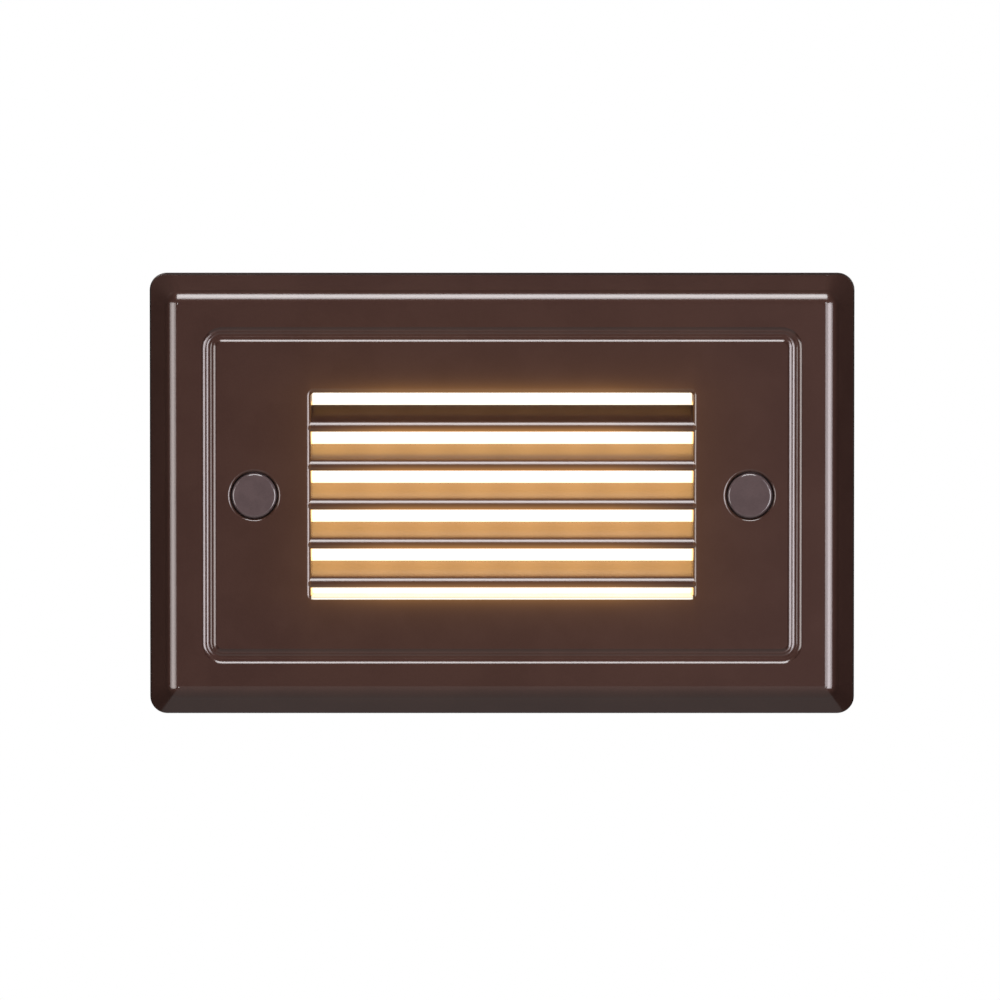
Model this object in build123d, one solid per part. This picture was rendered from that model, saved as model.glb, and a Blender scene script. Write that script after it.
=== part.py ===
from build123d import *
import math
import os

# A louvred step light for a single-gang wall box. Sizes are in millimetres and
# angles in degrees. The light looks along -Y, the wall's surface is the plane
# Y = 0, +X is to the viewer's right and +Z is up. The origin is on the wall's
# surface, midway between the two mounting screws. A depth is a Y value.

# Faceplate casting
PLATE_WIDTH = 118.7
PLATE_HEIGHT = 74.4
PLATE_CORNER = 2.9
PLATE_DEPTH = 6.4
RIM_STANDOFF = 0.6
RIM_WALL = 3.6
RIM_DRAFT = 6.0
FACE_WALL = 2.8
POCKET_CORNER = 2.0
BEVEL_WIDTH = 2.4
BEVEL_ANGLE = 45.0
RIDGE_FILLET = 2.8
RIDGE_ANGLE = 55.0
VALLEY_FILLET = 0.6

# The groove round the face: two coved walls, each with a level shelf at its foot, and
# a narrower, shallower groove between the shelves
GROOVE_INSET = 8.85
GROOVE_CORNER = 3.5
GROOVE_WALL_RADIUS = 1.0
GROOVE_WALL_ANGLE = 45.0
GROOVE_SHELF = 0.14
GROOVE_CORE_WIDTH = 0.8
GROOVE_CORE_ANGLE = 22.0

# Window and louvre blades, cast in one piece with the faceplate
WINDOW_RISE = 0.1
WINDOW_CORNER = 0.5
WINDOW_EDGE = 0.75
WINDOW_DRAFT = 1.5
SILL_GAP = 1.5
LOUVRE_COUNT = 5
LOUVRE_PITCH = 6.57
LIP_TOP_RADIUS = 1.5
LIP_FOOT_RADIUS = 0.6
BLADE_DEPTH = 5.5
BLADE_SLOPE = 28.5
BLADE_BACK = 1.1
BLADE_BACK_FILLET = 0.3
BLADE_EMBED = 0.5
COLLAR_WALL = 1.4
COLLAR_DEPTH = 3.2

# Mounting screws, number 6 with 32 threads to the inch, on the wall box's spacing
SCREW_SPACING = 83.34
THREAD_RADIUS = 1.75
SHANK_RADIUS = 1.5
SCREW_HOLE_GAP = 0.2
SCREW_REACH = 16.0
SCREW_TIP = 0.5
SCREW_HEAD_RADIUS = 3.4
SCREW_HEAD_HEIGHT = 2.1
SCREW_HEAD_FILLET = 0.9
SCREW_SEAT_GAP = 0.1
CROSS_SPAN = 3.6
CROSS_SLOT = 0.9
CROSS_DEPTH = 1.3

# Screw caps, which push into the counterbores over the screw heads
CAP_BORE_RADIUS = 4.0
CAP_BORE_EDGE = 0.45
CAP_BOSS_WALL = 1.1
CAP_RADIUS = 3.75
CAP_EDGE = 0.4
CAP_THICKNESS = 2.5
CAP_PROUD = 0.3
CAP_LIP_GAP = 0.03
CAP_LIP_WIDTH = 0.6
CAP_LIP_SETBACK = 0.3
CAP_HEAD_GAP = 0.2

# Rear housing, the tub that goes into the wall box
TUB_BOSS_GAP = 0.87
MOUTH_GAP = 0.5
TUB_WALL = 1.7
TUB_FLOOR = 1.8
TUB_CORNER = 3.0
TUB_BACK_FILLET = 1.2
FLANGE_THICKNESS = 2.4
FLANGE_MARGIN = 0.9
PILLAR_SIZE = 6.0

# Housing screws, countersunk, from the back of the flange into the faceplate
FLANGE_SCREW_SPAN = 56.0
FLANGE_SCREW_LAND = 0.35
FLANGE_SCREW_THREAD = 1.25
FLANGE_SCREW_HEAD = 2.35
FLANGE_SCREW_SINK = 0.1
FLANGE_SCREW_LENGTH = 4.4
FLANGE_BOSS_WALL = 1.3
THREAD_GAP = 0.02
TIP_GAP = 0.3
COUNTERSINK_GAP = 0.03

# Seals
SEAL_THICKNESS = 0.8
SEAL_INSET = 0.2
LENS_GASKET_THICKNESS = 0.8
GASKET_RIM_GAP = 0.3
GASKET_INNER_GAP = 0.6
GASKET_CORNER = 1.5

# Lens, light box and LED board, stacked in the tub from front to back
STACK_GAP = 0.3
LENS_THICKNESS = 2.0
LENS_CORNER = 1.0
REFLECTOR_DEPTH = 10.0
FUNNEL_INSET = 6.0
LED_BOARD_THICKNESS = 1.6
LED_COLUMNS = 6
LED_ROWS = 2
LED_MARGIN_X = 3.75
LED_MARGIN_Z = 4.0
LED_WIDTH = 3.5
LED_HEIGHT = 2.8
LED_THICKNESS = 0.7
PAD_THICKNESS = 0.6
PAD_MARGIN_X = 5.2
PAD_MARGIN_Z = 0.6
SPREADER_THICKNESS = 2.0
BOARD_SCREW_INSET = 2.9
BOARD_SCREW_THREAD = 1.25
BOARD_SCREW_HEAD = 2.2
BOARD_SCREW_HEAD_HEIGHT = 1.6
BOARD_SCREW_LENGTH = 9.0
BOARD_SCREW_HOLE_GAP = 0.15
HEAD_POCKET_GAP = 0.3

# Driver chamber: the tray, the board and what stands on it
TRAY_WALL = 0.8
TRAY_TOP_GAP = 1.0
STANDOFF_RADIUS = 1.5
STANDOFF_HEIGHT = 2.4
STANDOFF_INSET = 2.5
HOOK_WIDTH = 4.0
HOOK_REACH = 0.8
HOOK_THICKNESS = 1.2
HOOK_INSET = 3.5
DRIVER_BOARD_THICKNESS = 1.6
BOARD_EDGE_GAP = 0.35
PART_EDGE_X = 0.7
PART_EDGE_Z = 1.2
PART_SPACING = 0.8
CHAMBER_AIR = 0.8
TERMINAL_WIDTH = 8.0
TERMINAL_LENGTH = 15.0
TERMINAL_HEIGHT = 8.4
TERMINAL_POLES = 3
TERMINAL_PITCH = 4.6
TERMINAL_BORE = 1.3
TERMINAL_BORE_DEPTH = 5.0
TERMINAL_BORE_LEVEL = 3.0
TERMINAL_SCREW_RADIUS = 1.4
TERMINAL_SCREW_DEPTH = 1.5
FUSE_RADIUS = 1.8
FUSE_LENGTH = 9.0
FILM_CAP_WIDTH = 5.0
FILM_CAP_LENGTH = 9.6
FILM_CAP_HEIGHT = 8.0
VARISTOR_RADIUS = 3.5
VARISTOR_THICKNESS = 3.2
RECTIFIER_WIDTH = 6.4
RECTIFIER_LENGTH = 8.2
RECTIFIER_HEIGHT = 2.8
BULK_CAP_RADIUS = 4.0
BULK_CAP_LENGTH = 15.0
TRANSFORMER_WIDTH = 13.0
TRANSFORMER_LENGTH = 12.0
TRANSFORMER_HEIGHT = 8.4
TRANSFORMER_LIMB = 2.4
TRANSFORMER_CORE_DEPTH = 4.8
TRANSFORMER_WIRE_GAP = 0.2
CHIP_WIDTH = 5.0
CHIP_LENGTH = 4.0
CHIP_HEIGHT = 1.6
OUTPUT_CAP_RADIUS = 3.15
OUTPUT_CAP_HEIGHT = 8.0
CAN_FILLET = 0.5
LINK_WIDTH = 2.5
LINK_LENGTH = 5.1
LINK_PITCH = 2.54
LINK_PIN_RADIUS = 0.4
LINK_HOLE_GAP = 0.1
LINK_SLOT_MARGIN = 0.6
LINK_AIR = 0.5
LINK_TIP = 0.3
LINK_TAIL = 1.0

# Ground screw in its boss beside the tray
GROUND_BOSS_RADIUS = 2.5
GROUND_BOSS_HEIGHT = 5.0
GROUND_SCREW_THREAD = 1.5
GROUND_SCREW_HEAD = 2.7
GROUND_SCREW_HEAD_HEIGHT = 2.0
GROUND_SCREW_LENGTH = 4.0

# Cable grommet in the back wall, for the supply leads
GROMMET_BORE = 2.9
GROMMET_NECK = 4.2
GROMMET_FLANGE = 5.3
GROMMET_FLANGE_THICKNESS = 1.5
GROMMET_HOLE_GAP = 0.05
GROMMET_INSET = 6.2
GROMMET_TRAY_GAP = 0.4
GROMMET_FILLET = 0.5

# Depths, from the front to the back
FRONT = -(RIM_STANDOFF + PLATE_DEPTH)
CAP_FRONT = FRONT - CAP_PROUD
CAP_BACK = CAP_FRONT + CAP_THICKNESS
HEAD_FRONT = CAP_BACK + CAP_HEAD_GAP
HEAD_BACK = HEAD_FRONT + SCREW_HEAD_HEIGHT
SCREW_SEAT = HEAD_BACK + SCREW_SEAT_GAP
FACE_BACK = FRONT + FACE_WALL
RIM_BACK = -RIM_STANDOFF
COLLAR_BACK = FACE_BACK + COLLAR_DEPTH
FLANGE_FRONT = FACE_BACK + SEAL_THICKNESS
FLANGE_BACK = FLANGE_FRONT + FLANGE_THICKNESS
LENS_FRONT = COLLAR_BACK + LENS_GASKET_THICKNESS
LENS_BACK = LENS_FRONT + LENS_THICKNESS
LED_BOARD_FRONT = LENS_BACK + REFLECTOR_DEPTH
LED_BOARD_BACK = LED_BOARD_FRONT + LED_BOARD_THICKNESS
SPREADER_FRONT = LED_BOARD_BACK + PAD_THICKNESS
SPREADER_BACK = SPREADER_FRONT + SPREADER_THICKNESS
PART_HEIGHTS = (
    TERMINAL_HEIGHT,
    2 * FUSE_RADIUS,
    FILM_CAP_HEIGHT,
    2 * VARISTOR_RADIUS,
    RECTIFIER_HEIGHT,
    2 * BULK_CAP_RADIUS,
    TRANSFORMER_HEIGHT,
    CHIP_HEIGHT,
    OUTPUT_CAP_HEIGHT,
)
DRIVER_BOARD_FRONT = SPREADER_BACK + CHAMBER_AIR + max(PART_HEIGHTS)
DRIVER_BOARD_BACK = DRIVER_BOARD_FRONT + DRIVER_BOARD_THICKNESS
TRAY_FLOOR = DRIVER_BOARD_BACK + STANDOFF_HEIGHT
TUB_INSIDE_BACK = TRAY_FLOOR + TRAY_WALL
TUB_BACK = TUB_INSIDE_BACK + TUB_FLOOR

# Widths (X) and heights (Z) of what nests in or round something else
# The tub's width is what the screw bosses leave, and the window's is what the tub leaves.
SCREW_X = SCREW_SPACING / 2
CAP_BOSS_RADIUS = CAP_BORE_RADIUS + CAP_BOSS_WALL
TUB_WIDTH = 2 * (SCREW_X - CAP_BOSS_RADIUS - TUB_BOSS_GAP)
TUB_INSIDE_WIDTH = TUB_WIDTH - 2 * TUB_WALL
COLLAR_WIDTH = TUB_INSIDE_WIDTH - 2 * MOUTH_GAP
WINDOW_WIDTH = COLLAR_WIDTH - 2 * COLLAR_WALL
WINDOW_HEIGHT = LOUVRE_COUNT * LOUVRE_PITCH + SILL_GAP
COLLAR_HEIGHT = WINDOW_HEIGHT + 2 * COLLAR_WALL
TUB_INSIDE_HEIGHT = COLLAR_HEIGHT + 2 * MOUTH_GAP
TUB_HEIGHT = TUB_INSIDE_HEIGHT + 2 * TUB_WALL
TUB_INSIDE_CORNER = TUB_CORNER - TUB_WALL
STACK_WIDTH = TUB_INSIDE_WIDTH - 2 * STACK_GAP
STACK_HEIGHT = TUB_INSIDE_HEIGHT - 2 * STACK_GAP
FUNNEL_BACK_WIDTH = WINDOW_WIDTH - 2 * FUNNEL_INSET
FUNNEL_BACK_HEIGHT = WINDOW_HEIGHT - 2 * FUNNEL_INSET
LED_PITCH_X = (FUNNEL_BACK_WIDTH - 2 * LED_MARGIN_X - LED_WIDTH) / (LED_COLUMNS - 1)
LED_PITCH_Z = (FUNNEL_BACK_HEIGHT - 2 * LED_MARGIN_Z - LED_HEIGHT) / (LED_ROWS - 1)
FLANGE_SCREW_Z = TUB_HEIGHT / 2 + FLANGE_SCREW_LAND + FLANGE_SCREW_HEAD
FLANGE_HEIGHT = 2 * (FLANGE_SCREW_Z + FLANGE_SCREW_HEAD + FLANGE_MARGIN)
POCKET_WIDTH = PLATE_WIDTH - 2 * RIM_WALL
POCKET_HEIGHT = PLATE_HEIGHT - 2 * RIM_WALL
PILLAR_X = TUB_INSIDE_WIDTH / 2 - PILLAR_SIZE
TRAY_WIDTH = 2 * (PILLAR_X - STACK_GAP)
TRAY_HEIGHT = STACK_HEIGHT
TRAY_INSIDE_WIDTH = TRAY_WIDTH - 2 * TRAY_WALL
TRAY_INSIDE_HEIGHT = TRAY_HEIGHT - 2 * TRAY_WALL

# The driver board's columns of parts, from its left edge to its right edge
TERMINAL_COLUMN, FILTER_COLUMN, CAN_COLUMN, TRANSFORMER_COLUMN, LINK_COLUMN = range(5)
COLUMN_WIDTHS = (
    TERMINAL_WIDTH,
    max(2 * FUSE_RADIUS, FILM_CAP_WIDTH, VARISTOR_THICKNESS),
    max(RECTIFIER_WIDTH, 2 * BULK_CAP_RADIUS),
    max(TRANSFORMER_WIDTH, CHIP_WIDTH, 2 * OUTPUT_CAP_RADIUS),
    LINK_WIDTH,
)
BOARD_WIDTH = 2 * PART_EDGE_X + sum(COLUMN_WIDTHS) + PART_SPACING * (len(COLUMN_WIDTHS) - 1)
BOARD_HEIGHT = TRAY_INSIDE_HEIGHT - 2 * BOARD_EDGE_GAP
BOARD_RIGHT = TRAY_INSIDE_WIDTH / 2 - BOARD_EDGE_GAP
BOARD_LEFT = BOARD_RIGHT - BOARD_WIDTH
BOARD_X = (BOARD_LEFT + BOARD_RIGHT) / 2
PARTS_TOP = BOARD_HEIGHT / 2 - PART_EDGE_Z

# Places of what lines up through several pieces
FLANGE_SCREW_X = FLANGE_SCREW_SPAN / 2
BOARD_SCREW_X = STACK_WIDTH / 2 - BOARD_SCREW_INSET
BOARD_SCREW_Z = STACK_HEIGHT / 2 - BOARD_SCREW_INSET
GROMMET_X = GROMMET_INSET - TRAY_INSIDE_WIDTH / 2
GROUND_X = -(TRAY_WIDTH + TUB_INSIDE_WIDTH) / 4
CORE_WINDOW = (TRANSFORMER_WIDTH - 3 * TRANSFORMER_LIMB) / 2
CORE_WINDOW_LENGTH = TRANSFORMER_LENGTH - 2 * TRANSFORMER_LIMB
CORE_FRONT = DRIVER_BOARD_FRONT - (TRANSFORMER_HEIGHT + TRANSFORMER_CORE_DEPTH) / 2
CORE_BACK = CORE_FRONT + TRANSFORMER_CORE_DEPTH


def column_x(column):
    """The X of the middle of a column of parts on the driver board."""
    before = sum(COLUMN_WIDTHS[:column]) + PART_SPACING * column
    return BOARD_LEFT + PART_EDGE_X + before + COLUMN_WIDTHS[column] / 2


LINK_X = column_x(LINK_COLUMN)


def work_plane(depth):
    """An upright plane at a depth, drawn as seen from in front."""
    return Plane.XZ.offset(-depth)


def slab(width, height, front, back, corner=0.0, x=0.0, z=0.0):
    """A plate parallel to the wall, with rounded or sharp corners."""
    outline = RectangleRounded(width, height, corner) if corner > 0 else Rectangle(width, height)
    return extrude(work_plane(back) * Pos(x, z) * outline, amount=back - front)


def ring(outer, inner, front, back, outer_corner, inner_corner):
    """A rectangular frame parallel to the wall, from two (width, height) sizes."""
    return slab(*outer, front, back, outer_corner) - slab(*inner, front, back, inner_corner)


def disc(radius, front, back, x=0.0, z=0.0):
    """A cylinder whose axis runs from front to back."""
    return extrude(work_plane(back) * Pos(x, z) * Circle(radius), amount=back - front)


def corners(x, z):
    """The four places at plus and minus x and z."""
    return [(side * x, level * z) for side in (-1, 1) for level in (-1, 1)]


def edges_at(solid, depth, half_width, half_height):
    """The edges that lie at one depth inside a rectangle about the origin."""
    edge_reach = 0.01
    return [
        edge
        for edge in solid.edges()
        if abs(edge.bounding_box().min.Y - depth) < edge_reach
        and abs(edge.bounding_box().max.Y - depth) < edge_reach
        and abs(edge.center().X) < half_width + edge_reach
        and abs(edge.center().Z) < half_height + edge_reach
    ]


def pan_head_screw(front, head_radius, head_height, head_fillet, shaft, x, z):
    """A pan head screw that points to the back. The shaft is (radius, front, back) runs."""
    head = disc(head_radius, front, front + head_height, x, z)
    head = fillet(head.edges().sort_by(Axis.Y)[0], head_fillet)
    for radius, run_front, run_back in shaft:
        head += disc(radius, run_front, run_back, x, z)
    return head


def cross_recess(front, span, slot, depth, x, z):
    """The crossed slots for the driver in the head of a screw."""
    across = slab(span, slot, front, front + depth, 0.0, x, z)
    return across + slab(slot, span, front, front + depth, 0.0, x, z)


def bevelled_block():
    """A block whose face rounds over into a shallow valley and then a plain bevel."""
    ridge, bevel = math.radians(RIDGE_ANGLE), math.radians(BEVEL_ANGLE)
    ridge_end = (
        RIDGE_FILLET * math.sin(ridge),
        FRONT + RIDGE_FILLET * (1 - math.cos(ridge)),
    )
    valley = (
        ridge_end[0] + VALLEY_FILLET * math.sin(ridge),
        ridge_end[1] - VALLEY_FILLET * math.cos(ridge),
    )
    valley_end = (
        valley[0] - VALLEY_FILLET * math.sin(bevel),
        valley[1] + VALLEY_FILLET * math.cos(bevel),
    )
    rim_front = valley_end[1] + BEVEL_WIDTH * math.tan(bevel)
    draft = math.tan(math.radians(RIM_DRAFT)) * (RIM_BACK - rim_front)
    face_x = PLATE_WIDTH / 2 - draft - BEVEL_WIDTH - valley_end[0]
    face_z = PLATE_HEIGHT / 2 - draft - BEVEL_WIDTH - valley_end[0]
    foot = valley_end[0] + (RIM_BACK - valley_end[1]) / math.tan(bevel)
    quarter = make_face(
        [
            Line((0, RIM_BACK), (0, FRONT)),
            CenterArc((0, FRONT + RIDGE_FILLET), RIDGE_FILLET, -90, RIDGE_ANGLE),
            CenterArc(valley, VALLEY_FILLET, 90 + RIDGE_ANGLE, BEVEL_ANGLE - RIDGE_ANGLE),
            Line(valley_end, (foot, RIM_BACK)),
            Line((foot, RIM_BACK), (0, RIM_BACK)),
        ]
    )
    corner = revolve(quarter, axis=Axis.Y)
    block = slab(2 * face_x, 2 * face_z, FRONT, RIM_BACK)
    for turn, reach, length in (
        (0, face_x, face_z),
        (90, face_z, face_x),
        (180, face_x, face_z),
        (270, face_z, face_x),
    ):
        side = Pos(reach, 0, 0) * extrude(quarter, amount=length, both=True)
        block += Rotation(0, turn, 0) * side
    for x, z in corners(face_x, face_z):
        block += Pos(x, 0, z) * corner
    return block


def plate_envelope():
    """The outside of the faceplate: the drafted rim, cut to the bevelled block."""
    rim_outline = work_plane(RIM_BACK) * RectangleRounded(PLATE_WIDTH, PLATE_HEIGHT, PLATE_CORNER)
    return extrude(rim_outline, amount=PLATE_DEPTH, taper=RIM_DRAFT) & bevelled_block()


def louvre_blade(nose):
    """One blade: a round lip, flush with the face at its nose, and a body that rises to the back."""
    back, slope = FRONT + BLADE_DEPTH, math.radians(BLADE_SLOPE)
    top_turn = 90 - BLADE_SLOPE
    top = (
        FRONT + LIP_TOP_RADIUS * (1 - math.sin(slope)),
        nose + LIP_TOP_RADIUS * math.cos(slope),
    )
    back_top = (back, top[1] + (back - top[0]) * math.tan(slope))
    back_foot = (back, back_top[1] - BLADE_BACK)
    # The underside leaves the back edge and touches the lip's foot, which turns tighter.
    foot_centre = FRONT + LIP_FOOT_RADIUS
    reach = math.hypot(back_foot[0] - foot_centre, back_foot[1] - nose)
    bearing = math.degrees(math.atan2(back_foot[1] - nose, back_foot[0] - foot_centre))
    touch = bearing - math.degrees(math.acos(LIP_FOOT_RADIUS / reach))
    foot_arc = CenterArc((foot_centre, nose), LIP_FOOT_RADIUS, 180, 180 + touch)
    top_arc = CenterArc((FRONT + LIP_TOP_RADIUS, nose), LIP_TOP_RADIUS, 180, -top_turn)
    profile = make_face(
        [
            Line(top_arc @ 1, back_top),
            Line(back_top, back_foot),
            Line(back_foot, foot_arc @ 1),
            foot_arc,
            top_arc,
        ]
    )
    profile = fillet(profile.vertices().sort_by(Axis.X)[-2:], BLADE_BACK_FILLET)
    half_length = WINDOW_WIDTH / 2 + BLADE_EMBED
    return extrude(Plane.YZ * profile, amount=half_length, both=True)


def face_groove():
    """The tool that cuts the groove: a coved wall, a shelf and half the core, twice over."""
    wall, core = math.radians(GROOVE_WALL_ANGLE), math.radians(GROOVE_CORE_ANGLE)
    step = GROOVE_CORE_WIDTH / 2
    shelf = step + GROOVE_SHELF
    edge = shelf + GROOVE_WALL_RADIUS * math.sin(wall)
    middle = shelf + GROOVE_WALL_RADIUS * math.sin(wall / 2)
    middle_depth = GROOVE_WALL_RADIUS * (math.cos(wall / 2) - math.cos(wall))
    depth = GROOVE_WALL_RADIUS * (1 - math.cos(wall))
    core_depth = depth + step * math.tan(core / 2)
    section = make_face(
        [
            ThreePointArc((-edge, 0), (-middle, -middle_depth), (-shelf, -depth)),
            Line((-shelf, -depth), (-step, -depth)),
            ThreePointArc((-step, -depth), (0, -core_depth), (step, -depth)),
            Line((step, -depth), (shelf, -depth)),
            ThreePointArc((shelf, -depth), (middle, -middle_depth), (edge, 0)),
            Polyline((edge, 0), (edge, depth), (-edge, depth), (-edge, 0)),
        ]
    )
    inset = GROOVE_INSET + edge
    outline = RectangleRounded(
        PLATE_WIDTH - 2 * inset, PLATE_HEIGHT - 2 * inset, GROOVE_CORNER - edge
    )
    path = (work_plane(FRONT) * outline).wire()
    along = path % 0
    plane = Plane(origin=path @ 0, x_dir=Vector(0, -1, 0).cross(along), z_dir=along)
    return sweep(plane * section, path=path)


def faceplate():
    """The casting: face, rim, louvres, screw bosses and the collar behind the window."""
    plate = plate_envelope()
    plate -= slab(POCKET_WIDTH, POCKET_HEIGHT, FACE_BACK, RIM_BACK, POCKET_CORNER)
    collar_corner = WINDOW_CORNER + COLLAR_WALL
    plate += slab(
        COLLAR_WIDTH, COLLAR_HEIGHT, FACE_BACK, COLLAR_BACK, collar_corner, 0.0, WINDOW_RISE
    )
    for x in (-SCREW_X, SCREW_X):
        plate += disc(CAP_BOSS_RADIUS, FACE_BACK, RIM_BACK, x)
    for x, z in corners(FLANGE_SCREW_X, FLANGE_SCREW_Z):
        plate += disc(FLANGE_SCREW_THREAD + FLANGE_BOSS_WALL, FACE_BACK, FLANGE_FRONT, x, z)
    window_shape = Pos(0, WINDOW_RISE) * RectangleRounded(
        WINDOW_WIDTH, WINDOW_HEIGHT, WINDOW_CORNER
    )
    window_outline = work_plane(FRONT) * window_shape
    plate -= extrude(window_outline, amount=FRONT - COLLAR_BACK, taper=WINDOW_DRAFT)
    for x in (-SCREW_X, SCREW_X):
        plate -= disc(CAP_BORE_RADIUS, FRONT, SCREW_SEAT, x)
        plate -= disc(THREAD_RADIUS + SCREW_HOLE_GAP, SCREW_SEAT, RIM_BACK, x)
    hole_reach = SCREW_X + CAP_BORE_RADIUS
    bore_edges = [
        edge
        for edge in edges_at(plate, FRONT, hole_reach, CAP_BORE_RADIUS)
        if edge.geom_type == GeomType.CIRCLE and edge.radius > CAP_BORE_RADIUS - SCREW_HOLE_GAP
    ]
    plate = fillet(bore_edges, CAP_BORE_EDGE)
    window_top = WINDOW_RISE + WINDOW_HEIGHT / 2
    plate = fillet(edges_at(plate, FRONT, WINDOW_WIDTH / 2, window_top), WINDOW_EDGE)
    for number in range(LOUVRE_COUNT):
        from_sill = SILL_GAP + LIP_FOOT_RADIUS + number * LOUVRE_PITCH
        plate += louvre_blade(window_top - WINDOW_HEIGHT + from_sill)
    plate -= face_groove()
    for x, z in corners(FLANGE_SCREW_X, FLANGE_SCREW_Z):
        tip = FLANGE_BACK - FLANGE_SCREW_SINK - FLANGE_SCREW_LENGTH - TIP_GAP
        plate -= disc(FLANGE_SCREW_THREAD + THREAD_GAP, tip, FLANGE_FRONT, x, z)
    return plate


def screw_cap(x):
    """A push-in cap with a sealing lip that grips the counterbore."""
    cap = disc(CAP_RADIUS, CAP_FRONT, CAP_BACK, x)
    cap = fillet(cap.edges().sort_by(Axis.Y)[0], CAP_EDGE)
    lip_back = CAP_BACK - CAP_LIP_SETBACK
    return cap + disc(CAP_BORE_RADIUS - CAP_LIP_GAP, lip_back - CAP_LIP_WIDTH, lip_back, x)


def mounting_screw(x):
    """A machine screw whose thread starts at the wall and runs into the wall box."""
    shaft = [(SHANK_RADIUS, HEAD_BACK, 0.0), (THREAD_RADIUS, 0.0, SCREW_REACH)]
    screw = pan_head_screw(
        HEAD_FRONT, SCREW_HEAD_RADIUS, SCREW_HEAD_HEIGHT, SCREW_HEAD_FILLET, shaft, x, 0.0
    )
    screw = chamfer(screw.edges().sort_by(Axis.Y)[-1], SCREW_TIP)
    return screw - cross_recess(HEAD_FRONT, CROSS_SPAN, CROSS_SLOT, CROSS_DEPTH, x, 0.0)


def wall_gasket():
    """The foam frame between the faceplate and the wall."""
    outer = (POCKET_WIDTH - 2 * GASKET_RIM_GAP, POCKET_HEIGHT - 2 * GASKET_RIM_GAP)
    inner = (
        2 * (SCREW_X + CAP_BOSS_RADIUS + GASKET_INNER_GAP),
        FLANGE_HEIGHT + 2 * GASKET_INNER_GAP,
    )
    return ring(outer, inner, FACE_BACK, 0.0, GASKET_CORNER, GASKET_CORNER)


def housing_seal():
    """The silicone frame between the tub's rim and the back of the face."""
    outer = (TUB_WIDTH - 2 * SEAL_INSET, TUB_HEIGHT - 2 * SEAL_INSET)
    inner = (TUB_INSIDE_WIDTH + 2 * SEAL_INSET, TUB_INSIDE_HEIGHT + 2 * SEAL_INSET)
    inner_corner = TUB_INSIDE_CORNER + SEAL_INSET
    return ring(outer, inner, FACE_BACK, FLANGE_FRONT, TUB_CORNER - SEAL_INSET, inner_corner)


def lens_gasket():
    """The silicone frame between the collar and the lens."""
    outer = (COLLAR_WIDTH, COLLAR_HEIGHT)
    inner = (WINDOW_WIDTH, WINDOW_HEIGHT)
    outer_corner = WINDOW_CORNER + COLLAR_WALL
    gasket = ring(outer, inner, COLLAR_BACK, LENS_FRONT, outer_corner, WINDOW_CORNER)
    return Pos(0, 0, WINDOW_RISE) * gasket


def diffuser_lens():
    """The opal lens behind the louvres."""
    return slab(STACK_WIDTH, STACK_HEIGHT, LENS_FRONT, LENS_BACK, LENS_CORNER)


def reflector_frame():
    """The white light box, narrower at the board, with pockets for the board screws' heads."""
    frame = slab(STACK_WIDTH, STACK_HEIGHT, LENS_BACK, LED_BOARD_FRONT, LENS_CORNER)
    funnel = loft(
        [
            work_plane(LENS_BACK) * Rectangle(WINDOW_WIDTH, WINDOW_HEIGHT),
            work_plane(LED_BOARD_FRONT) * Rectangle(FUNNEL_BACK_WIDTH, FUNNEL_BACK_HEIGHT),
        ],
        ruled=True,
    )
    frame -= funnel
    pocket_front = LED_BOARD_FRONT - BOARD_SCREW_HEAD_HEIGHT - HEAD_POCKET_GAP
    for x, z in corners(BOARD_SCREW_X, BOARD_SCREW_Z):
        frame -= disc(BOARD_SCREW_HEAD + HEAD_POCKET_GAP, pocket_front, LED_BOARD_FRONT, x, z)
    return frame


def link_places():
    """The places of the two link pins."""
    return [(LINK_X, -LINK_PITCH / 2), (LINK_X, LINK_PITCH / 2)]


def led_board():
    """The LED board, with holes for its screws and the link pins."""
    board = slab(STACK_WIDTH, STACK_HEIGHT, LED_BOARD_FRONT, LED_BOARD_BACK, LENS_CORNER)
    screw_hole = BOARD_SCREW_THREAD + BOARD_SCREW_HOLE_GAP
    for x, z in corners(BOARD_SCREW_X, BOARD_SCREW_Z):
        board -= disc(screw_hole, LED_BOARD_FRONT, LED_BOARD_BACK, x, z)
    for x, z in link_places():
        board -= disc(LINK_PIN_RADIUS + LINK_HOLE_GAP, LED_BOARD_FRONT, LED_BOARD_BACK, x, z)
    return board


def led_chips():
    """The grid of LED packages on the front of the board."""
    places = [
        (
            (column - (LED_COLUMNS - 1) / 2) * LED_PITCH_X,
            (row - (LED_ROWS - 1) / 2) * LED_PITCH_Z,
        )
        for column in range(LED_COLUMNS)
        for row in range(LED_ROWS)
    ]
    front = LED_BOARD_FRONT - LED_THICKNESS
    chips = [slab(LED_WIDTH, LED_HEIGHT, front, LED_BOARD_FRONT, 0.0, x, z) for x, z in places]
    return Compound(children=[chip.solid() for chip in chips])


def link_slot(front, back):
    """The slot that lets the link pins through a metal or rubber layer."""
    width = 2 * (LINK_PIN_RADIUS + LINK_SLOT_MARGIN)
    return slab(width, LINK_PITCH + width, front, back, 0.0, LINK_X)


def thermal_pad():
    """The soft pad that carries heat from the LED board to the spreader."""
    width = STACK_WIDTH - 2 * PAD_MARGIN_X
    height = STACK_HEIGHT - 2 * PAD_MARGIN_Z
    pad = slab(width, height, LED_BOARD_BACK, SPREADER_FRONT)
    return pad - link_slot(LED_BOARD_BACK, SPREADER_FRONT)


def heat_spreader():
    """The aluminium plate that stands on the tub's four pillars."""
    plate = slab(STACK_WIDTH, STACK_HEIGHT, SPREADER_FRONT, SPREADER_BACK, LENS_CORNER)
    for x, z in corners(BOARD_SCREW_X, BOARD_SCREW_Z):
        screw_hole = BOARD_SCREW_THREAD + BOARD_SCREW_HOLE_GAP
        plate -= disc(screw_hole, SPREADER_FRONT, SPREADER_BACK, x, z)
    return plate - link_slot(SPREADER_FRONT, SPREADER_BACK)


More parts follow.
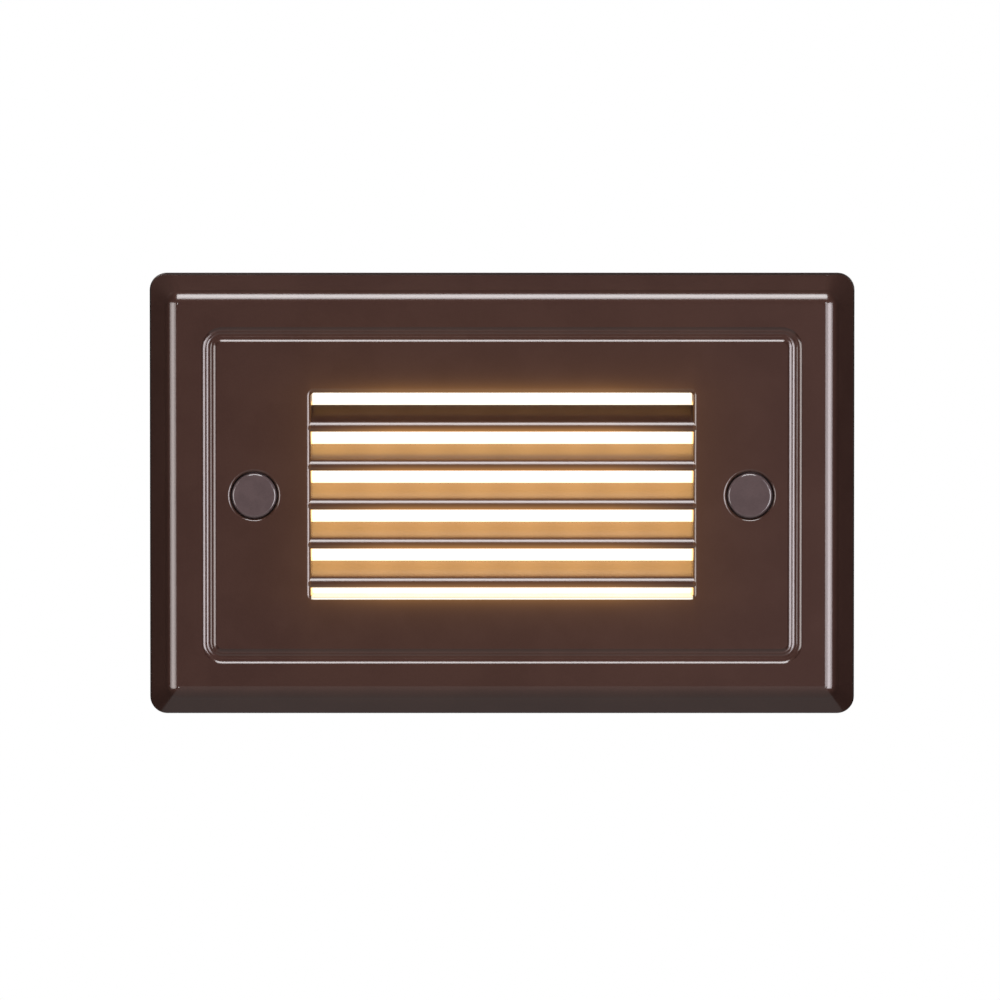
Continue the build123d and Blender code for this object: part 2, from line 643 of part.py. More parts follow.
def board_screws():
    """The four screws through the LED board and the spreader into the pillars."""
    head_front = LED_BOARD_FRONT - BOARD_SCREW_HEAD_HEIGHT
    shaft = [(BOARD_SCREW_THREAD, LED_BOARD_FRONT, LED_BOARD_FRONT + BOARD_SCREW_LENGTH)]
    screws = [
        pan_head_screw(
            head_front,
            BOARD_SCREW_HEAD,
            BOARD_SCREW_HEAD_HEIGHT,
            BOARD_SCREW_HEAD_HEIGHT / 2,
            shaft,
            x,
            z,
        )
        for x, z in corners(BOARD_SCREW_X, BOARD_SCREW_Z)
    ]
    return Compound(children=[screw.solid() for screw in screws])


def countersunk_shape(head_front, radius, back, x, z):
    """A cone whose wide end is at the back, as a countersunk head or its seat."""
    narrow = work_plane(head_front) * Pos(x, z) * Circle(FLANGE_SCREW_THREAD)
    wide = work_plane(back) * Pos(x, z) * Circle(radius)
    return loft([narrow, wide], ruled=True)


def housing_screws():
    """The four countersunk screws that hold the housing to the faceplate."""
    back = FLANGE_BACK - FLANGE_SCREW_SINK
    head_front = back - (FLANGE_SCREW_HEAD - FLANGE_SCREW_THREAD)
    screws = []
    for x, z in corners(FLANGE_SCREW_X, FLANGE_SCREW_Z):
        screw = countersunk_shape(head_front, FLANGE_SCREW_HEAD, back, x, z)
        screw += disc(FLANGE_SCREW_THREAD, back - FLANGE_SCREW_LENGTH, head_front, x, z)
        socket_front = back - (back - head_front) / 2
        socket = RegularPolygon(FLANGE_SCREW_THREAD / 2, 6)
        screw -= extrude(work_plane(back) * Pos(x, z) * socket, amount=back - socket_front)
        screws.append(screw.solid())
    return Compound(children=screws)


def rear_housing():
    """The tub with its flange, corner pillars, ground boss and cable hole."""
    tub = slab(TUB_WIDTH, TUB_HEIGHT, FLANGE_FRONT, TUB_BACK, TUB_CORNER)
    tub = fillet(tub.faces().sort_by(Axis.Y)[-1].edges(), TUB_BACK_FILLET)
    tub += slab(TUB_WIDTH, FLANGE_HEIGHT, FLANGE_FRONT, FLANGE_BACK, TUB_CORNER)
    tub -= slab(
        TUB_INSIDE_WIDTH, TUB_INSIDE_HEIGHT, FLANGE_FRONT, TUB_INSIDE_BACK, TUB_INSIDE_CORNER
    )
    pillar_width = PILLAR_SIZE + TUB_WALL / 2
    pillar_x = PILLAR_X + pillar_width / 2
    pillar_z = TUB_INSIDE_HEIGHT / 2 - PILLAR_SIZE + pillar_width / 2
    hole_back = LED_BOARD_FRONT + BOARD_SCREW_LENGTH + TIP_GAP
    for side in (-1, 1):
        for level in (-1, 1):
            tub += slab(
                pillar_width,
                pillar_width,
                SPREADER_BACK,
                TUB_INSIDE_BACK,
                0.0,
                side * pillar_x,
                level * pillar_z,
            )
    for x, z in corners(BOARD_SCREW_X, BOARD_SCREW_Z):
        tub -= disc(BOARD_SCREW_THREAD + THREAD_GAP, SPREADER_BACK, hole_back, x, z)
    boss_front = TUB_INSIDE_BACK - GROUND_BOSS_HEIGHT
    tub += disc(GROUND_BOSS_RADIUS, boss_front, TUB_INSIDE_BACK, GROUND_X)
    ground_hole_back = boss_front + GROUND_SCREW_LENGTH + TIP_GAP
    tub -= disc(GROUND_SCREW_THREAD + THREAD_GAP, boss_front, ground_hole_back, GROUND_X)
    tub -= disc(GROMMET_NECK + GROMMET_HOLE_GAP, TUB_INSIDE_BACK, TUB_BACK, GROMMET_X)
    head_height = FLANGE_SCREW_HEAD - FLANGE_SCREW_THREAD
    cone_back = FLANGE_BACK - FLANGE_SCREW_SINK
    seat_radius = FLANGE_SCREW_HEAD + COUNTERSINK_GAP
    for x, z in corners(FLANGE_SCREW_X, FLANGE_SCREW_Z):
        shaft_hole = FLANGE_SCREW_THREAD + COUNTERSINK_GAP
        tub -= disc(shaft_hole, FLANGE_FRONT, FLANGE_BACK, x, z)
        narrow = work_plane(cone_back - head_height) * Pos(x, z) * Circle(shaft_hole)
        wide = work_plane(cone_back) * Pos(x, z) * Circle(seat_radius)
        tub -= loft([narrow, wide], ruled=True)
        tub -= disc(seat_radius, cone_back, FLANGE_BACK, x, z)
    return tub


def cable_grommet():
    """The rubber bush in the back wall, with a bore for the supply leads."""
    inner_front = TUB_INSIDE_BACK - GROMMET_FLANGE_THICKNESS
    outer_back = TUB_BACK + GROMMET_FLANGE_THICKNESS
    outer = disc(GROMMET_FLANGE, TUB_BACK, outer_back, GROMMET_X)
    outer = fillet(outer.edges().sort_by(Axis.Y)[-1], GROMMET_FILLET)
    grommet = outer + disc(GROMMET_FLANGE, inner_front, TUB_INSIDE_BACK, GROMMET_X)
    grommet += disc(GROMMET_NECK, TUB_INSIDE_BACK, TUB_BACK, GROMMET_X)
    return grommet - disc(GROMMET_BORE, inner_front, outer_back, GROMMET_X)


def ground_screw():
    """The earth screw in its boss beside the tray."""
    boss_front = TUB_INSIDE_BACK - GROUND_BOSS_HEIGHT
    head_front = boss_front - GROUND_SCREW_HEAD_HEIGHT
    shaft = [(GROUND_SCREW_THREAD, boss_front, boss_front + GROUND_SCREW_LENGTH)]
    screw = pan_head_screw(
        head_front,
        GROUND_SCREW_HEAD,
        GROUND_SCREW_HEAD_HEIGHT,
        GROUND_SCREW_HEAD_HEIGHT / 2,
        shaft,
        GROUND_X,
        0.0,
    )
    recess_span = GROUND_SCREW_HEAD
    recess_depth = GROUND_SCREW_HEAD_HEIGHT / 2
    return screw - cross_recess(
        head_front, recess_span, recess_span / 4, recess_depth, GROUND_X, 0.0
    )


def insulator_tray():
    """The plastic tray that lines the chamber, with standoffs and hooks for the board."""
    front = SPREADER_BACK + TRAY_TOP_GAP
    tray = slab(TRAY_WIDTH, TRAY_HEIGHT, front, TUB_INSIDE_BACK)
    tray -= slab(TRAY_INSIDE_WIDTH, TRAY_INSIDE_HEIGHT, front, TRAY_FLOOR)
    for x in (BOARD_LEFT + STANDOFF_INSET, BOARD_RIGHT - STANDOFF_INSET):
        for level in (-1, 1):
            z = level * (BOARD_HEIGHT / 2 - STANDOFF_INSET)
            tray += disc(STANDOFF_RADIUS, DRIVER_BOARD_BACK, TRAY_FLOOR, x, z)
    hook_height = HOOK_REACH + BOARD_EDGE_GAP + TRAY_WALL / 2
    hook_z = BOARD_HEIGHT / 2 - HOOK_REACH + hook_height / 2
    for x in (BOARD_LEFT + HOOK_INSET, BOARD_RIGHT - HOOK_INSET):
        for level in (-1, 1):
            tray += slab(
                HOOK_WIDTH,
                hook_height,
                DRIVER_BOARD_FRONT - HOOK_THICKNESS,
                DRIVER_BOARD_FRONT,
                0.0,
                x,
                level * hook_z,
            )
    return tray - disc(GROMMET_FLANGE + GROMMET_TRAY_GAP, TRAY_FLOOR, TUB_INSIDE_BACK, GROMMET_X)


def driver_board():
    """The board that turns mains into the LED current."""
    board = slab(
        BOARD_WIDTH, BOARD_HEIGHT, DRIVER_BOARD_FRONT, DRIVER_BOARD_BACK, 0.0, BOARD_X
    )
    for x, z in link_places():
        pin_hole = LINK_PIN_RADIUS + LINK_HOLE_GAP
        board -= disc(pin_hole, DRIVER_BOARD_FRONT, DRIVER_BOARD_BACK, x, z)
    return board


def on_board(width, length, height, column, z):
    """A block that stands on the driver board in one of its columns."""
    return slab(
        width, length, DRIVER_BOARD_FRONT - height, DRIVER_BOARD_FRONT, 0.0, column_x(column), z
    )


def terminal_block():
    """The lead terminals: a wire hole in the side and a clamp screw in front, per pole."""
    block = on_board(TERMINAL_WIDTH, TERMINAL_LENGTH, TERMINAL_HEIGHT, TERMINAL_COLUMN, 0.0)
    front = DRIVER_BOARD_FRONT - TERMINAL_HEIGHT
    middle = column_x(TERMINAL_COLUMN)
    left = middle - TERMINAL_WIDTH / 2
    for pole in range(TERMINAL_POLES):
        z = (pole - (TERMINAL_POLES - 1) / 2) * TERMINAL_PITCH
        entry = Plane.YZ.offset(left) * Pos(DRIVER_BOARD_FRONT - TERMINAL_BORE_LEVEL, z)
        block -= extrude(entry * Circle(TERMINAL_BORE), amount=TERMINAL_BORE_DEPTH)
        block -= disc(TERMINAL_SCREW_RADIUS, front, front + TERMINAL_SCREW_DEPTH, middle, z)
    return block


def lying_can(radius, length, column, top):
    """A cylinder that lies on the driver board along Z, with its upper end at top."""
    end = Plane.XY.offset(top) * Pos(column_x(column), DRIVER_BOARD_FRONT - radius)
    can = extrude(end * Circle(radius), amount=-length)
    return fillet(can.edges().filter_by(GeomType.CIRCLE), CAN_FILLET)


def fuse():
    """The glass-fibre fuse resistor at the top of its column."""
    return lying_can(FUSE_RADIUS, FUSE_LENGTH, FILTER_COLUMN, PARTS_TOP)


def film_capacitor():
    """The boxed filter capacitor, in the middle of its column."""
    return on_board(FILM_CAP_WIDTH, FILM_CAP_LENGTH, FILM_CAP_HEIGHT, FILTER_COLUMN, 0.0)


def varistor():
    """The surge disc that stands on its edge at the foot of its column."""
    left = column_x(FILTER_COLUMN) - VARISTOR_THICKNESS / 2
    middle = Pos(DRIVER_BOARD_FRONT - VARISTOR_RADIUS, VARISTOR_RADIUS - PARTS_TOP)
    body = extrude(Plane.YZ.offset(left) * middle * Circle(VARISTOR_RADIUS), VARISTOR_THICKNESS)
    return fillet(body.edges().filter_by(GeomType.CIRCLE), CAN_FILLET)


def bridge_rectifier():
    """The rectifier at the top of its column."""
    z = PARTS_TOP - RECTIFIER_LENGTH / 2
    return on_board(RECTIFIER_WIDTH, RECTIFIER_LENGTH, RECTIFIER_HEIGHT, CAN_COLUMN, z)


def bulk_capacitor():
    """The electrolytic can that lies at the foot of its column."""
    top = BULK_CAP_LENGTH - PARTS_TOP
    return lying_can(BULK_CAP_RADIUS, BULK_CAP_LENGTH, CAN_COLUMN, top)


def transformer_z():
    """The middle of the transformer, halfway between the chip and the output capacitor."""
    chip_bottom = PARTS_TOP - CHIP_LENGTH
    can_top = 2 * OUTPUT_CAP_RADIUS - PARTS_TOP
    return (chip_bottom + can_top) / 2


def transformer_core():
    """The ferrite: a block with a window on each side of its middle limb."""
    x, z = column_x(TRANSFORMER_COLUMN), transformer_z()
    core = slab(TRANSFORMER_WIDTH, TRANSFORMER_LENGTH, CORE_FRONT, CORE_BACK, 0.0, x, z)
    shift = (TRANSFORMER_LIMB + CORE_WINDOW) / 2
    for side in (-1, 1):
        core -= slab(
            CORE_WINDOW, CORE_WINDOW_LENGTH, CORE_FRONT, CORE_BACK, 0.0, x + side * shift, z
        )
    return core


def transformer_winding():
    """The coil, wound round the middle limb and standing on the driver board."""
    width = TRANSFORMER_LIMB + 2 * (CORE_WINDOW - TRANSFORMER_WIRE_GAP)
    length = CORE_WINDOW_LENGTH - 2 * TRANSFORMER_WIRE_GAP
    z = transformer_z()
    coil = on_board(width, length, TRANSFORMER_HEIGHT, TRANSFORMER_COLUMN, z)
    return coil - slab(
        TRANSFORMER_LIMB + 2 * TRANSFORMER_WIRE_GAP,
        length,
        CORE_FRONT - TRANSFORMER_WIRE_GAP,
        CORE_BACK + TRANSFORMER_WIRE_GAP,
        0.0,
        column_x(TRANSFORMER_COLUMN),
        z,
    )


def driver_chip():
    """The control chip at the top of its column."""
    z = PARTS_TOP - CHIP_LENGTH / 2
    return on_board(CHIP_WIDTH, CHIP_LENGTH, CHIP_HEIGHT, TRANSFORMER_COLUMN, z)


def output_capacitor():
    """The electrolytic can that stands at the foot of its column."""
    z = OUTPUT_CAP_RADIUS - PARTS_TOP
    x = column_x(TRANSFORMER_COLUMN)
    front = DRIVER_BOARD_FRONT - OUTPUT_CAP_HEIGHT
    can = disc(OUTPUT_CAP_RADIUS, front, DRIVER_BOARD_FRONT, x, z)
    return fillet(can.edges().filter_by(GeomType.CIRCLE), CAN_FILLET)


def link_header():
    """The block that holds the link pins upright on the driver board."""
    front = SPREADER_BACK + LINK_AIR
    header = slab(LINK_WIDTH, LINK_LENGTH, front, DRIVER_BOARD_FRONT, 0.0, LINK_X)
    for x, z in link_places():
        header -= disc(LINK_PIN_RADIUS, front, DRIVER_BOARD_FRONT, x, z)
    return header


def link_pins():
    """The two pins from the driver board to the LED board."""
    front = LED_BOARD_FRONT + LINK_TIP
    back = DRIVER_BOARD_BACK + LINK_TAIL
    pins = [disc(LINK_PIN_RADIUS, front, back, x, z) for x, z in link_places()]
    return Compound(children=[pin.solid() for pin in pins])


PIECES = {
    "faceplate": faceplate(),
    "screw_cap_left": screw_cap(-SCREW_X),
    "screw_cap_right": screw_cap(SCREW_X),
    "mounting_screw_left": mounting_screw(-SCREW_X),
    "mounting_screw_right": mounting_screw(SCREW_X),
    "wall_gasket": wall_gasket(),
    "housing_seal": housing_seal(),
    "lens_gasket": lens_gasket(),
    "diffuser_lens": diffuser_lens(),
    "reflector_frame": reflector_frame(),
    "led_board": led_board(),
    "led_chips": led_chips(),
    "thermal_pad": thermal_pad(),
    "heat_spreader": heat_spreader(),
    "board_screws": board_screws(),
    "rear_housing": rear_housing(),
    "housing_screws": housing_screws(),
    "cable_grommet": cable_grommet(),
    "ground_screw": ground_screw(),
    "insulator_tray": insulator_tray(),
    "driver_board": driver_board(),
    "terminal_block": terminal_block(),
    "fuse": fuse(),
    "film_capacitor": film_capacitor(),
    "varistor": varistor(),
    "bridge_rectifier": bridge_rectifier(),
    "bulk_capacitor": bulk_capacitor(),
    "transformer_core": transformer_core(),
    "transformer_winding": transformer_winding(),
    "driver_chip": driver_chip(),
    "output_capacitor": output_capacitor(),
    "link_header": link_header(),
    "link_pins": link_pins(),
}

os.makedirs("parts", exist_ok=True)
for name, piece in PIECES.items():
    export_step(piece, f"parts/{name}.step")
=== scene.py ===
# %% [markdown]
# # A louvred step light
#
# The light is a dark bronze casting, about 119 by 74 mm, that covers a wall box.
# Five louvre blades throw the light of a warm lens down on the step. The packed
# CAD model gives every piece its true size and place. This lesson adds what CAD
# leaves out: the finish of each material, the screw threads and the light itself.
# All lengths are in metres, the front looks along -Y, and the wall is the plane y = 0.

import math

import bmesh
import bpy
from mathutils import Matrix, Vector


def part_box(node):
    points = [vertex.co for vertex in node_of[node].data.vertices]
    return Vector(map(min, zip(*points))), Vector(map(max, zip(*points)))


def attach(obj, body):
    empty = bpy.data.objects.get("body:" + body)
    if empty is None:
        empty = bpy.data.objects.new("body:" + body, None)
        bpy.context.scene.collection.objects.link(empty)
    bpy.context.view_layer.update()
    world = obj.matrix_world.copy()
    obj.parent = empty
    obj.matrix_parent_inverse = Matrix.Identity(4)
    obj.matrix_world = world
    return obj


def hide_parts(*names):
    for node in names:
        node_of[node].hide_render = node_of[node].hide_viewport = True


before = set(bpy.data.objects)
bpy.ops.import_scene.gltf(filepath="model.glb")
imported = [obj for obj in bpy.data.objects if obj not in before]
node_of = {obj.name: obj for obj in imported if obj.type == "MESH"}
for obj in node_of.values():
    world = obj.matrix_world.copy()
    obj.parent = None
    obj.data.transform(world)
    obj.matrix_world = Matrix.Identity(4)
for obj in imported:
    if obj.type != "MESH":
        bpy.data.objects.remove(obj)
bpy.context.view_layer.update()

# %% [markdown]
# ## The camera
#
# The photograph was taken from far away with a long lens, nearly square to the
# face and a little from above: the rim's lower side can't be seen, and its upper
# side shows as a thin dark line. A distance of 2.5 m and a rise of 3.8 degrees give
# the same view. The lens follows from the size of one pixel on the faceplate.

# %% Place the camera
MM = 0.001
PIXELS = 1000
PIXEL_SIZE = 0.16836 * MM
VIEW_DISTANCE = 2.5
VIEW_RISE = math.radians(3.8)
PLATE_CENTRE_PIXEL = (502.1, 494.2)
PLATE_DEPTH = 7.0 * MM

scene = bpy.context.scene
camera_data = bpy.data.cameras.new("camera")
camera_data.sensor_width = 36.0
camera_data.lens = camera_data.sensor_width * VIEW_DISTANCE / (PIXELS * PIXEL_SIZE)
camera_data.clip_start = 0.05
camera_data.clip_end = 50.0
camera = bpy.data.objects.new("camera", camera_data)
scene.collection.objects.link(camera)
aim = Vector(
    (
        (PIXELS / 2 - PLATE_CENTRE_PIXEL[0]) * PIXEL_SIZE,
        -PLATE_DEPTH / 2,
        (PLATE_CENTRE_PIXEL[1] - PIXELS / 2) * PIXEL_SIZE,
    )
)
camera.location = aim + VIEW_DISTANCE * Vector((0.0, -math.cos(VIEW_RISE), math.sin(VIEW_RISE)))
camera.rotation_euler = (aim - camera.location).to_track_quat("-Z", "Y").to_euler()
scene.camera = camera
scene.view_settings.view_transform = "Standard"
print("lens:", round(camera_data.lens, 1), "mm")

# %% [markdown]
# ## Small helpers for node trees
#
# Shaders and Geometry Nodes are both trees of nodes with named sockets. One helper
# adds a node, sets its options, and links or sets its inputs, so that each tree
# below reads as a list of steps. A second one makes a group with named sockets.


# %% Helpers for node trees
def add(tree, kind, inputs=None, **options):
    """Add a node. An input is a value, or a socket to link from."""
    node = tree.nodes.new(kind)
    for name, value in options.items():
        setattr(node, name, value)
    for name, value in (inputs or {}).items():
        if isinstance(value, bpy.types.NodeSocket):
            tree.links.new(value, node.inputs[name])
        else:
            node.inputs[name].default_value = value
    return node


def maths(tree, operation, *values):
    """Add a Math node and return its result."""
    return add(tree, "ShaderNodeMath", dict(enumerate(values)), operation=operation).outputs[0]


def product(tree, *factors):
    """Multiply two or more values."""
    result = factors[0]
    for factor in factors[1:]:
        result = maths(tree, "MULTIPLY", result, factor)
    return result


def smooth_step(tree, value, start, end, low=0.0, high=1.0):
    """Map a value from start..end to low..high with soft ends."""
    inputs = {0: value, 1: start, 2: end, 3: low, 4: high}
    node = add(tree, "ShaderNodeMapRange", inputs, interpolation_type="SMOOTHSTEP")
    return node.outputs[0]


def blend_colour(tree, factor, first, second):
    """Mix two colours and return the result."""
    inputs = {0: factor, 6: first, 7: second}
    return add(tree, "ShaderNodeMix", inputs, data_type="RGBA").outputs[2]


def noise(tree, place, size, detail):
    """Smooth noise whose lumps are about one size across. The size may be a socket."""
    scale = maths(tree, "DIVIDE", 1.0, size)
    inputs = {"Vector": place, "Scale": scale, "Detail": detail}
    return add(tree, "ShaderNodeTexNoise", inputs).outputs["Fac"]


def bumped(tree, height, strength, depth):
    """The surface normal that a height gives. The depth is in metres."""
    inputs = {"Strength": strength, "Distance": depth, "Height": height}
    return add(tree, "ShaderNodeBump", inputs).outputs["Normal"]


def new_material(name):
    """An empty material, its node tree and its output node."""
    material = bpy.data.materials.new(name)
    material.use_nodes = True
    material.node_tree.nodes.clear()
    return material, material.node_tree, add(material.node_tree, "ShaderNodeOutputMaterial")


def plain_surface(tree, output, inputs):
    """End a material in a Principled surface."""
    surface = add(tree, "ShaderNodeBsdfPrincipled", inputs)
    tree.links.new(surface.outputs[0], output.inputs["Surface"])


def new_group(name, kind, inputs, outputs):
    """Make a node group with named sockets, and return it with its two ends."""
    group = bpy.data.node_groups.new(name, kind)
    for socket, socket_type, value in inputs:
        item = group.interface.new_socket(socket, in_out="INPUT", socket_type=socket_type)
        if value is not None:
            item.default_value = value
    for socket, socket_type in outputs:
        group.interface.new_socket(socket, in_out="OUTPUT", socket_type=socket_type)
    return group, group.nodes.new("NodeGroupInput").outputs, group.nodes.new("NodeGroupOutput")


def finish_group(group, end, **results):
    """Link results to the group's outputs, with _ in a name standing for a space."""
    for name, socket in results.items():
        group.links.new(socket, end.inputs[name.replace("_", " ")])
    print("group:", group.name, "nodes:", len(group.nodes))


COLOUR, NUMBER, VECTOR = "NodeSocketColor", "NodeSocketFloat", "NodeSocketVector"

# %% [markdown]
# ## The backdrop
#
# The photograph is cut out on white. A pale paper sweep below the light keeps its
# shadow, and the world is white wherever the camera, a reflection or clear plastic
# sees it. It is grey for everything else, so that it adds little light of its own.

# %% Make the floor and the world
FLOOR_LEVEL = -0.45


def flat_panel(name, centre, across, up):
    """A rectangle round a centre, from two half-side vectors."""
    centre, across, up = Vector(centre), Vector(across), Vector(up)
    mesh = bpy.data.meshes.new(name)
    low, high = centre - up, centre + up
    corners = [low - across, low + across, high + across, high - across]
    mesh.from_pydata([tuple(corner) for corner in corners], [], [(0, 1, 2, 3)])
    panel = bpy.data.objects.new(name, mesh)
    scene.collection.objects.link(panel)
    return panel


paper, tree, output = new_material("paper_sweep")
place = add(tree, "ShaderNodeTexCoord").outputs["Object"]
fibre = noise(tree, place, 4 * MM, 4.0)
tone = blend_colour(tree, fibre, (0.80, 0.80, 0.80, 1.0), (0.84, 0.84, 0.84, 1.0))
plain_surface(tree, output, {"Base Color": tone, "Roughness": 0.9, "Specular IOR Level": 0.0})
floor = flat_panel("floor", (0.0, -0.8, FLOOR_LEVEL), (4.0, 0.0, 0.0), (0.0, 3.0, 0.0))
floor.data.materials.append(paper)

world = bpy.data.worlds.new("white_room")
world.use_nodes = True
scene.world = world
tree = world.node_tree
tree.nodes.clear()
rays = add(tree, "ShaderNodeLightPath").outputs
seen = maths(tree, "MAXIMUM", rays["Is Camera Ray"], rays["Is Glossy Ray"])
seen = maths(tree, "MAXIMUM", seen, rays["Is Transmission Ray"])
strength = smooth_step(tree, seen, 0.0, 1.0, 0.5, 1.0)
backdrop = add(tree, "ShaderNodeBackground", {"Color": (1.0, 1.0, 1.0, 1.0), "Strength": strength})
tree.links.new(backdrop.outputs[0], add(tree, "ShaderNodeOutputWorld").inputs["Surface"])
print("floor level:", FLOOR_LEVEL)

# %% [markdown]
# ## The lamps
#
# The plate's rounded ridges work like mirrors. The left and right ridges carry one
# clean bright strip each, so a soft box stands on each side, and a third one hangs
# above. The left one is the weakest and the warmest. A soft box's place and size are
# given as angles, because those angles set where a highlight starts and stops on the
# ridge. A real soft box is brighter in its middle, so each one has a smaller core,
# which rounds off the highlight. Two more lamps behind light the back for other
# views.

# %% Hang the soft boxes
LAMP_DISTANCE = 1.25
CORE_DISTANCE = 1.2
BACK_DISTANCE = 1.8
# Cycles shows an area lamp at a quarter of its power per square metre.
POWER_SHARE = 4.0


def direction(azimuth, rise):
    """The unit vector from the light towards a place in front of it, in degrees."""
    azimuth, rise = math.radians(azimuth), math.radians(rise)
    return Vector(
        (math.sin(azimuth) * math.cos(rise), -math.cos(azimuth) * math.cos(rise), math.sin(rise))
    )


def soft_box(name, azimuth, rise, width, height, radiance, colour, distance=LAMP_DISTANCE):
    """A rectangular lamp that faces the object. Width and height are angles it spans."""
    lamp = bpy.data.lights.new(name, "AREA")
    lamp.shape = "RECTANGLE"
    lamp.size = 2 * distance * math.tan(math.radians(width / 2))
    lamp.size_y = 2 * distance * math.tan(math.radians(height / 2))
    lamp.energy = POWER_SHARE * radiance * lamp.size * lamp.size_y
    lamp.color = colour
    box = bpy.data.objects.new(name, lamp)
    scene.collection.objects.link(box)
    box.location = distance * direction(azimuth, rise)
    box.rotation_euler = (-box.location).to_track_quat("-Z", "Y").to_euler()
    box.visible_camera = False
    print(name, "size:", round(lamp.size, 2), "x", round(lamp.size_y, 2), "m")


soft_box("soft_box_left", -46.0, -5.0, 42.0, 30.0, 1.5, (1.0, 0.96, 0.95))
soft_box("soft_box_left_core", -46.0, -5.0, 20.0, 30.0, 1.1, (1.0, 0.96, 0.95), CORE_DISTANCE)
soft_box("soft_box_right", 32.5, -5.0, 41.0, 30.0, 2.1, (0.98, 0.95, 1.0))
soft_box("soft_box_right_core", 32.5, -5.0, 19.0, 30.0, 1.7, (0.98, 0.95, 1.0), CORE_DISTANCE)
soft_box("soft_box_above", 0.0, 55.5, 32.0, 37.0, 2.6, (0.97, 0.98, 1.0))
soft_box("soft_box_above_core", 0.0, 57.0, 32.0, 20.0, 1.8, (0.97, 0.98, 1.0), CORE_DISTANCE)
soft_box("back_lamp_left", -145.0, 38.0, 40.0, 30.0, 3.0, (1.0, 1.0, 1.0), BACK_DISTANCE)
soft_box("back_lamp_right", 140.0, 20.0, 24.0, 30.0, 3.0, (1.0, 1.0, 1.0), BACK_DISTANCE)

# %% [markdown]
# ## The black flags
#
# In a white room a dark glossy thing looks grey, because it mirrors the walls.
# A photographer hangs black cloth, called flags, wherever the object would mirror
# something pale. These flags do the same, and the camera doesn't see them. The one
# in front is a little lighter. Cloth covers the floor too, and on it lies a strip of
# pale card, which the lower bevel mirrors.

# %% Hang the flags
FLAG_REACH = 2.8
CARD_REACH = 0.32
CLOTH_LIFT = 0.01


def flag_cloth(name, grey):
    """Dull cloth of an even grey, whatever light falls on it."""
    material, tree, output = new_material(name)
    cloth = add(tree, "ShaderNodeEmission", {"Color": (grey, grey, grey, 1.0), "Strength": 1.0})
    tree.links.new(cloth.outputs[0], output.inputs["Surface"])
    return material


def flag(name, centre, across, up, cloth):
    """A flag that lamps and mirrors meet, but the camera doesn't."""
    panel = flat_panel(name, centre, across, up)
    panel.data.materials.append(cloth)
    panel.visible_camera = False
    panel.visible_shadow = False


black_cloth = flag_cloth("black_cloth", 0.012)
grey_card = flag_cloth("grey_card", 0.015)
under_card = flag_cloth("under_card", 0.18)
middle = FLOOR_LEVEL + FLAG_REACH / 2
wide, deep = (FLAG_REACH, 0.0, 0.0), (0.0, FLAG_REACH, 0.0)
tall = (0.0, 0.0, FLAG_REACH / 2)
flag("flag_front", (0.0, -FLAG_REACH, middle), wide, tall, grey_card)
flag("flag_back", (0.0, FLAG_REACH, middle), wide, tall, black_cloth)
flag("flag_left", (-FLAG_REACH, 0.0, middle), deep, tall, black_cloth)
flag("flag_right", (FLAG_REACH, 0.0, middle), deep, tall, black_cloth)
flag("flag_above", (0.0, 0.0, FLOOR_LEVEL + FLAG_REACH), wide, deep, black_cloth)
flag("cloth_below", (0.0, 0.0, FLOOR_LEVEL + CLOTH_LIFT), wide, deep, black_cloth)
narrow = (CARD_REACH, 0.0, 0.0)
flag("card_below", (0.0, 0.0, FLOOR_LEVEL + 2 * CLOTH_LIFT), narrow, deep, under_card)
print("flags hang", FLAG_REACH, "m away")

# %% [markdown]
# ## The powder coat
#
# The casting is sprayed with a satin bronze powder that melts into a skin. Close
# up the skin has three scales: soft waves under a millimetre wide, called orange
# peel, a fine sandy grain, and a slow mottling in the colour. One group makes all
# three from the place on the piece, so the housing, the plate and the caps share
# it with their own sizes. Its height goes to a Bump node in the material.

# %% Build the powder group
powder, use, end = new_group(
    "powder_skin",
    "ShaderNodeTree",
    [
        ("Place", VECTOR, None),
        ("Light Colour", COLOUR, (0.06, 0.03, 0.02, 1.0)),
        ("Dark Colour", COLOUR, (0.05, 0.02, 0.01, 1.0)),
        ("Peel Size", NUMBER, 0.9 * MM),
        ("Grain Size", NUMBER, 0.2 * MM),
        ("Mottle Size", NUMBER, 9 * MM),
        ("Grain Share", NUMBER, 0.4),
        ("Smoothest", NUMBER, 0.34),
        ("Roughest", NUMBER, 0.44),
    ],
    [("Colour", COLOUR), ("Roughness", NUMBER), ("Height", NUMBER)],
)
PATCH_SHARE = 0.6
peel = noise(powder, use["Place"], use["Peel Size"], 1.0)
grain = noise(powder, use["Place"], use["Grain Size"], 2.0)
mottle = noise(powder, use["Place"], use["Mottle Size"], 3.0)
patches = smooth_step(powder, mottle, 0.35, 0.65)
specks = smooth_step(powder, grain, 0.35, 0.68)
speckled = product(powder, specks, 1.0 - PATCH_SHARE)
shade = maths(powder, "MULTIPLY_ADD", patches, PATCH_SHARE, speckled)
skin = blend_colour(powder, shade, use["Dark Colour"], use["Light Colour"])
spread = add(powder, "ShaderNodeMapRange", {0: specks, 3: use["Smoothest"], 4: use["Roughest"]})
depth = add(powder, "ShaderNodeMix", {0: use["Grain Share"], 2: peel, 3: grain}, data_type="FLOAT")
finish_group(powder, end, Colour=skin, Roughness=spread.outputs[0], Height=depth.outputs[0])
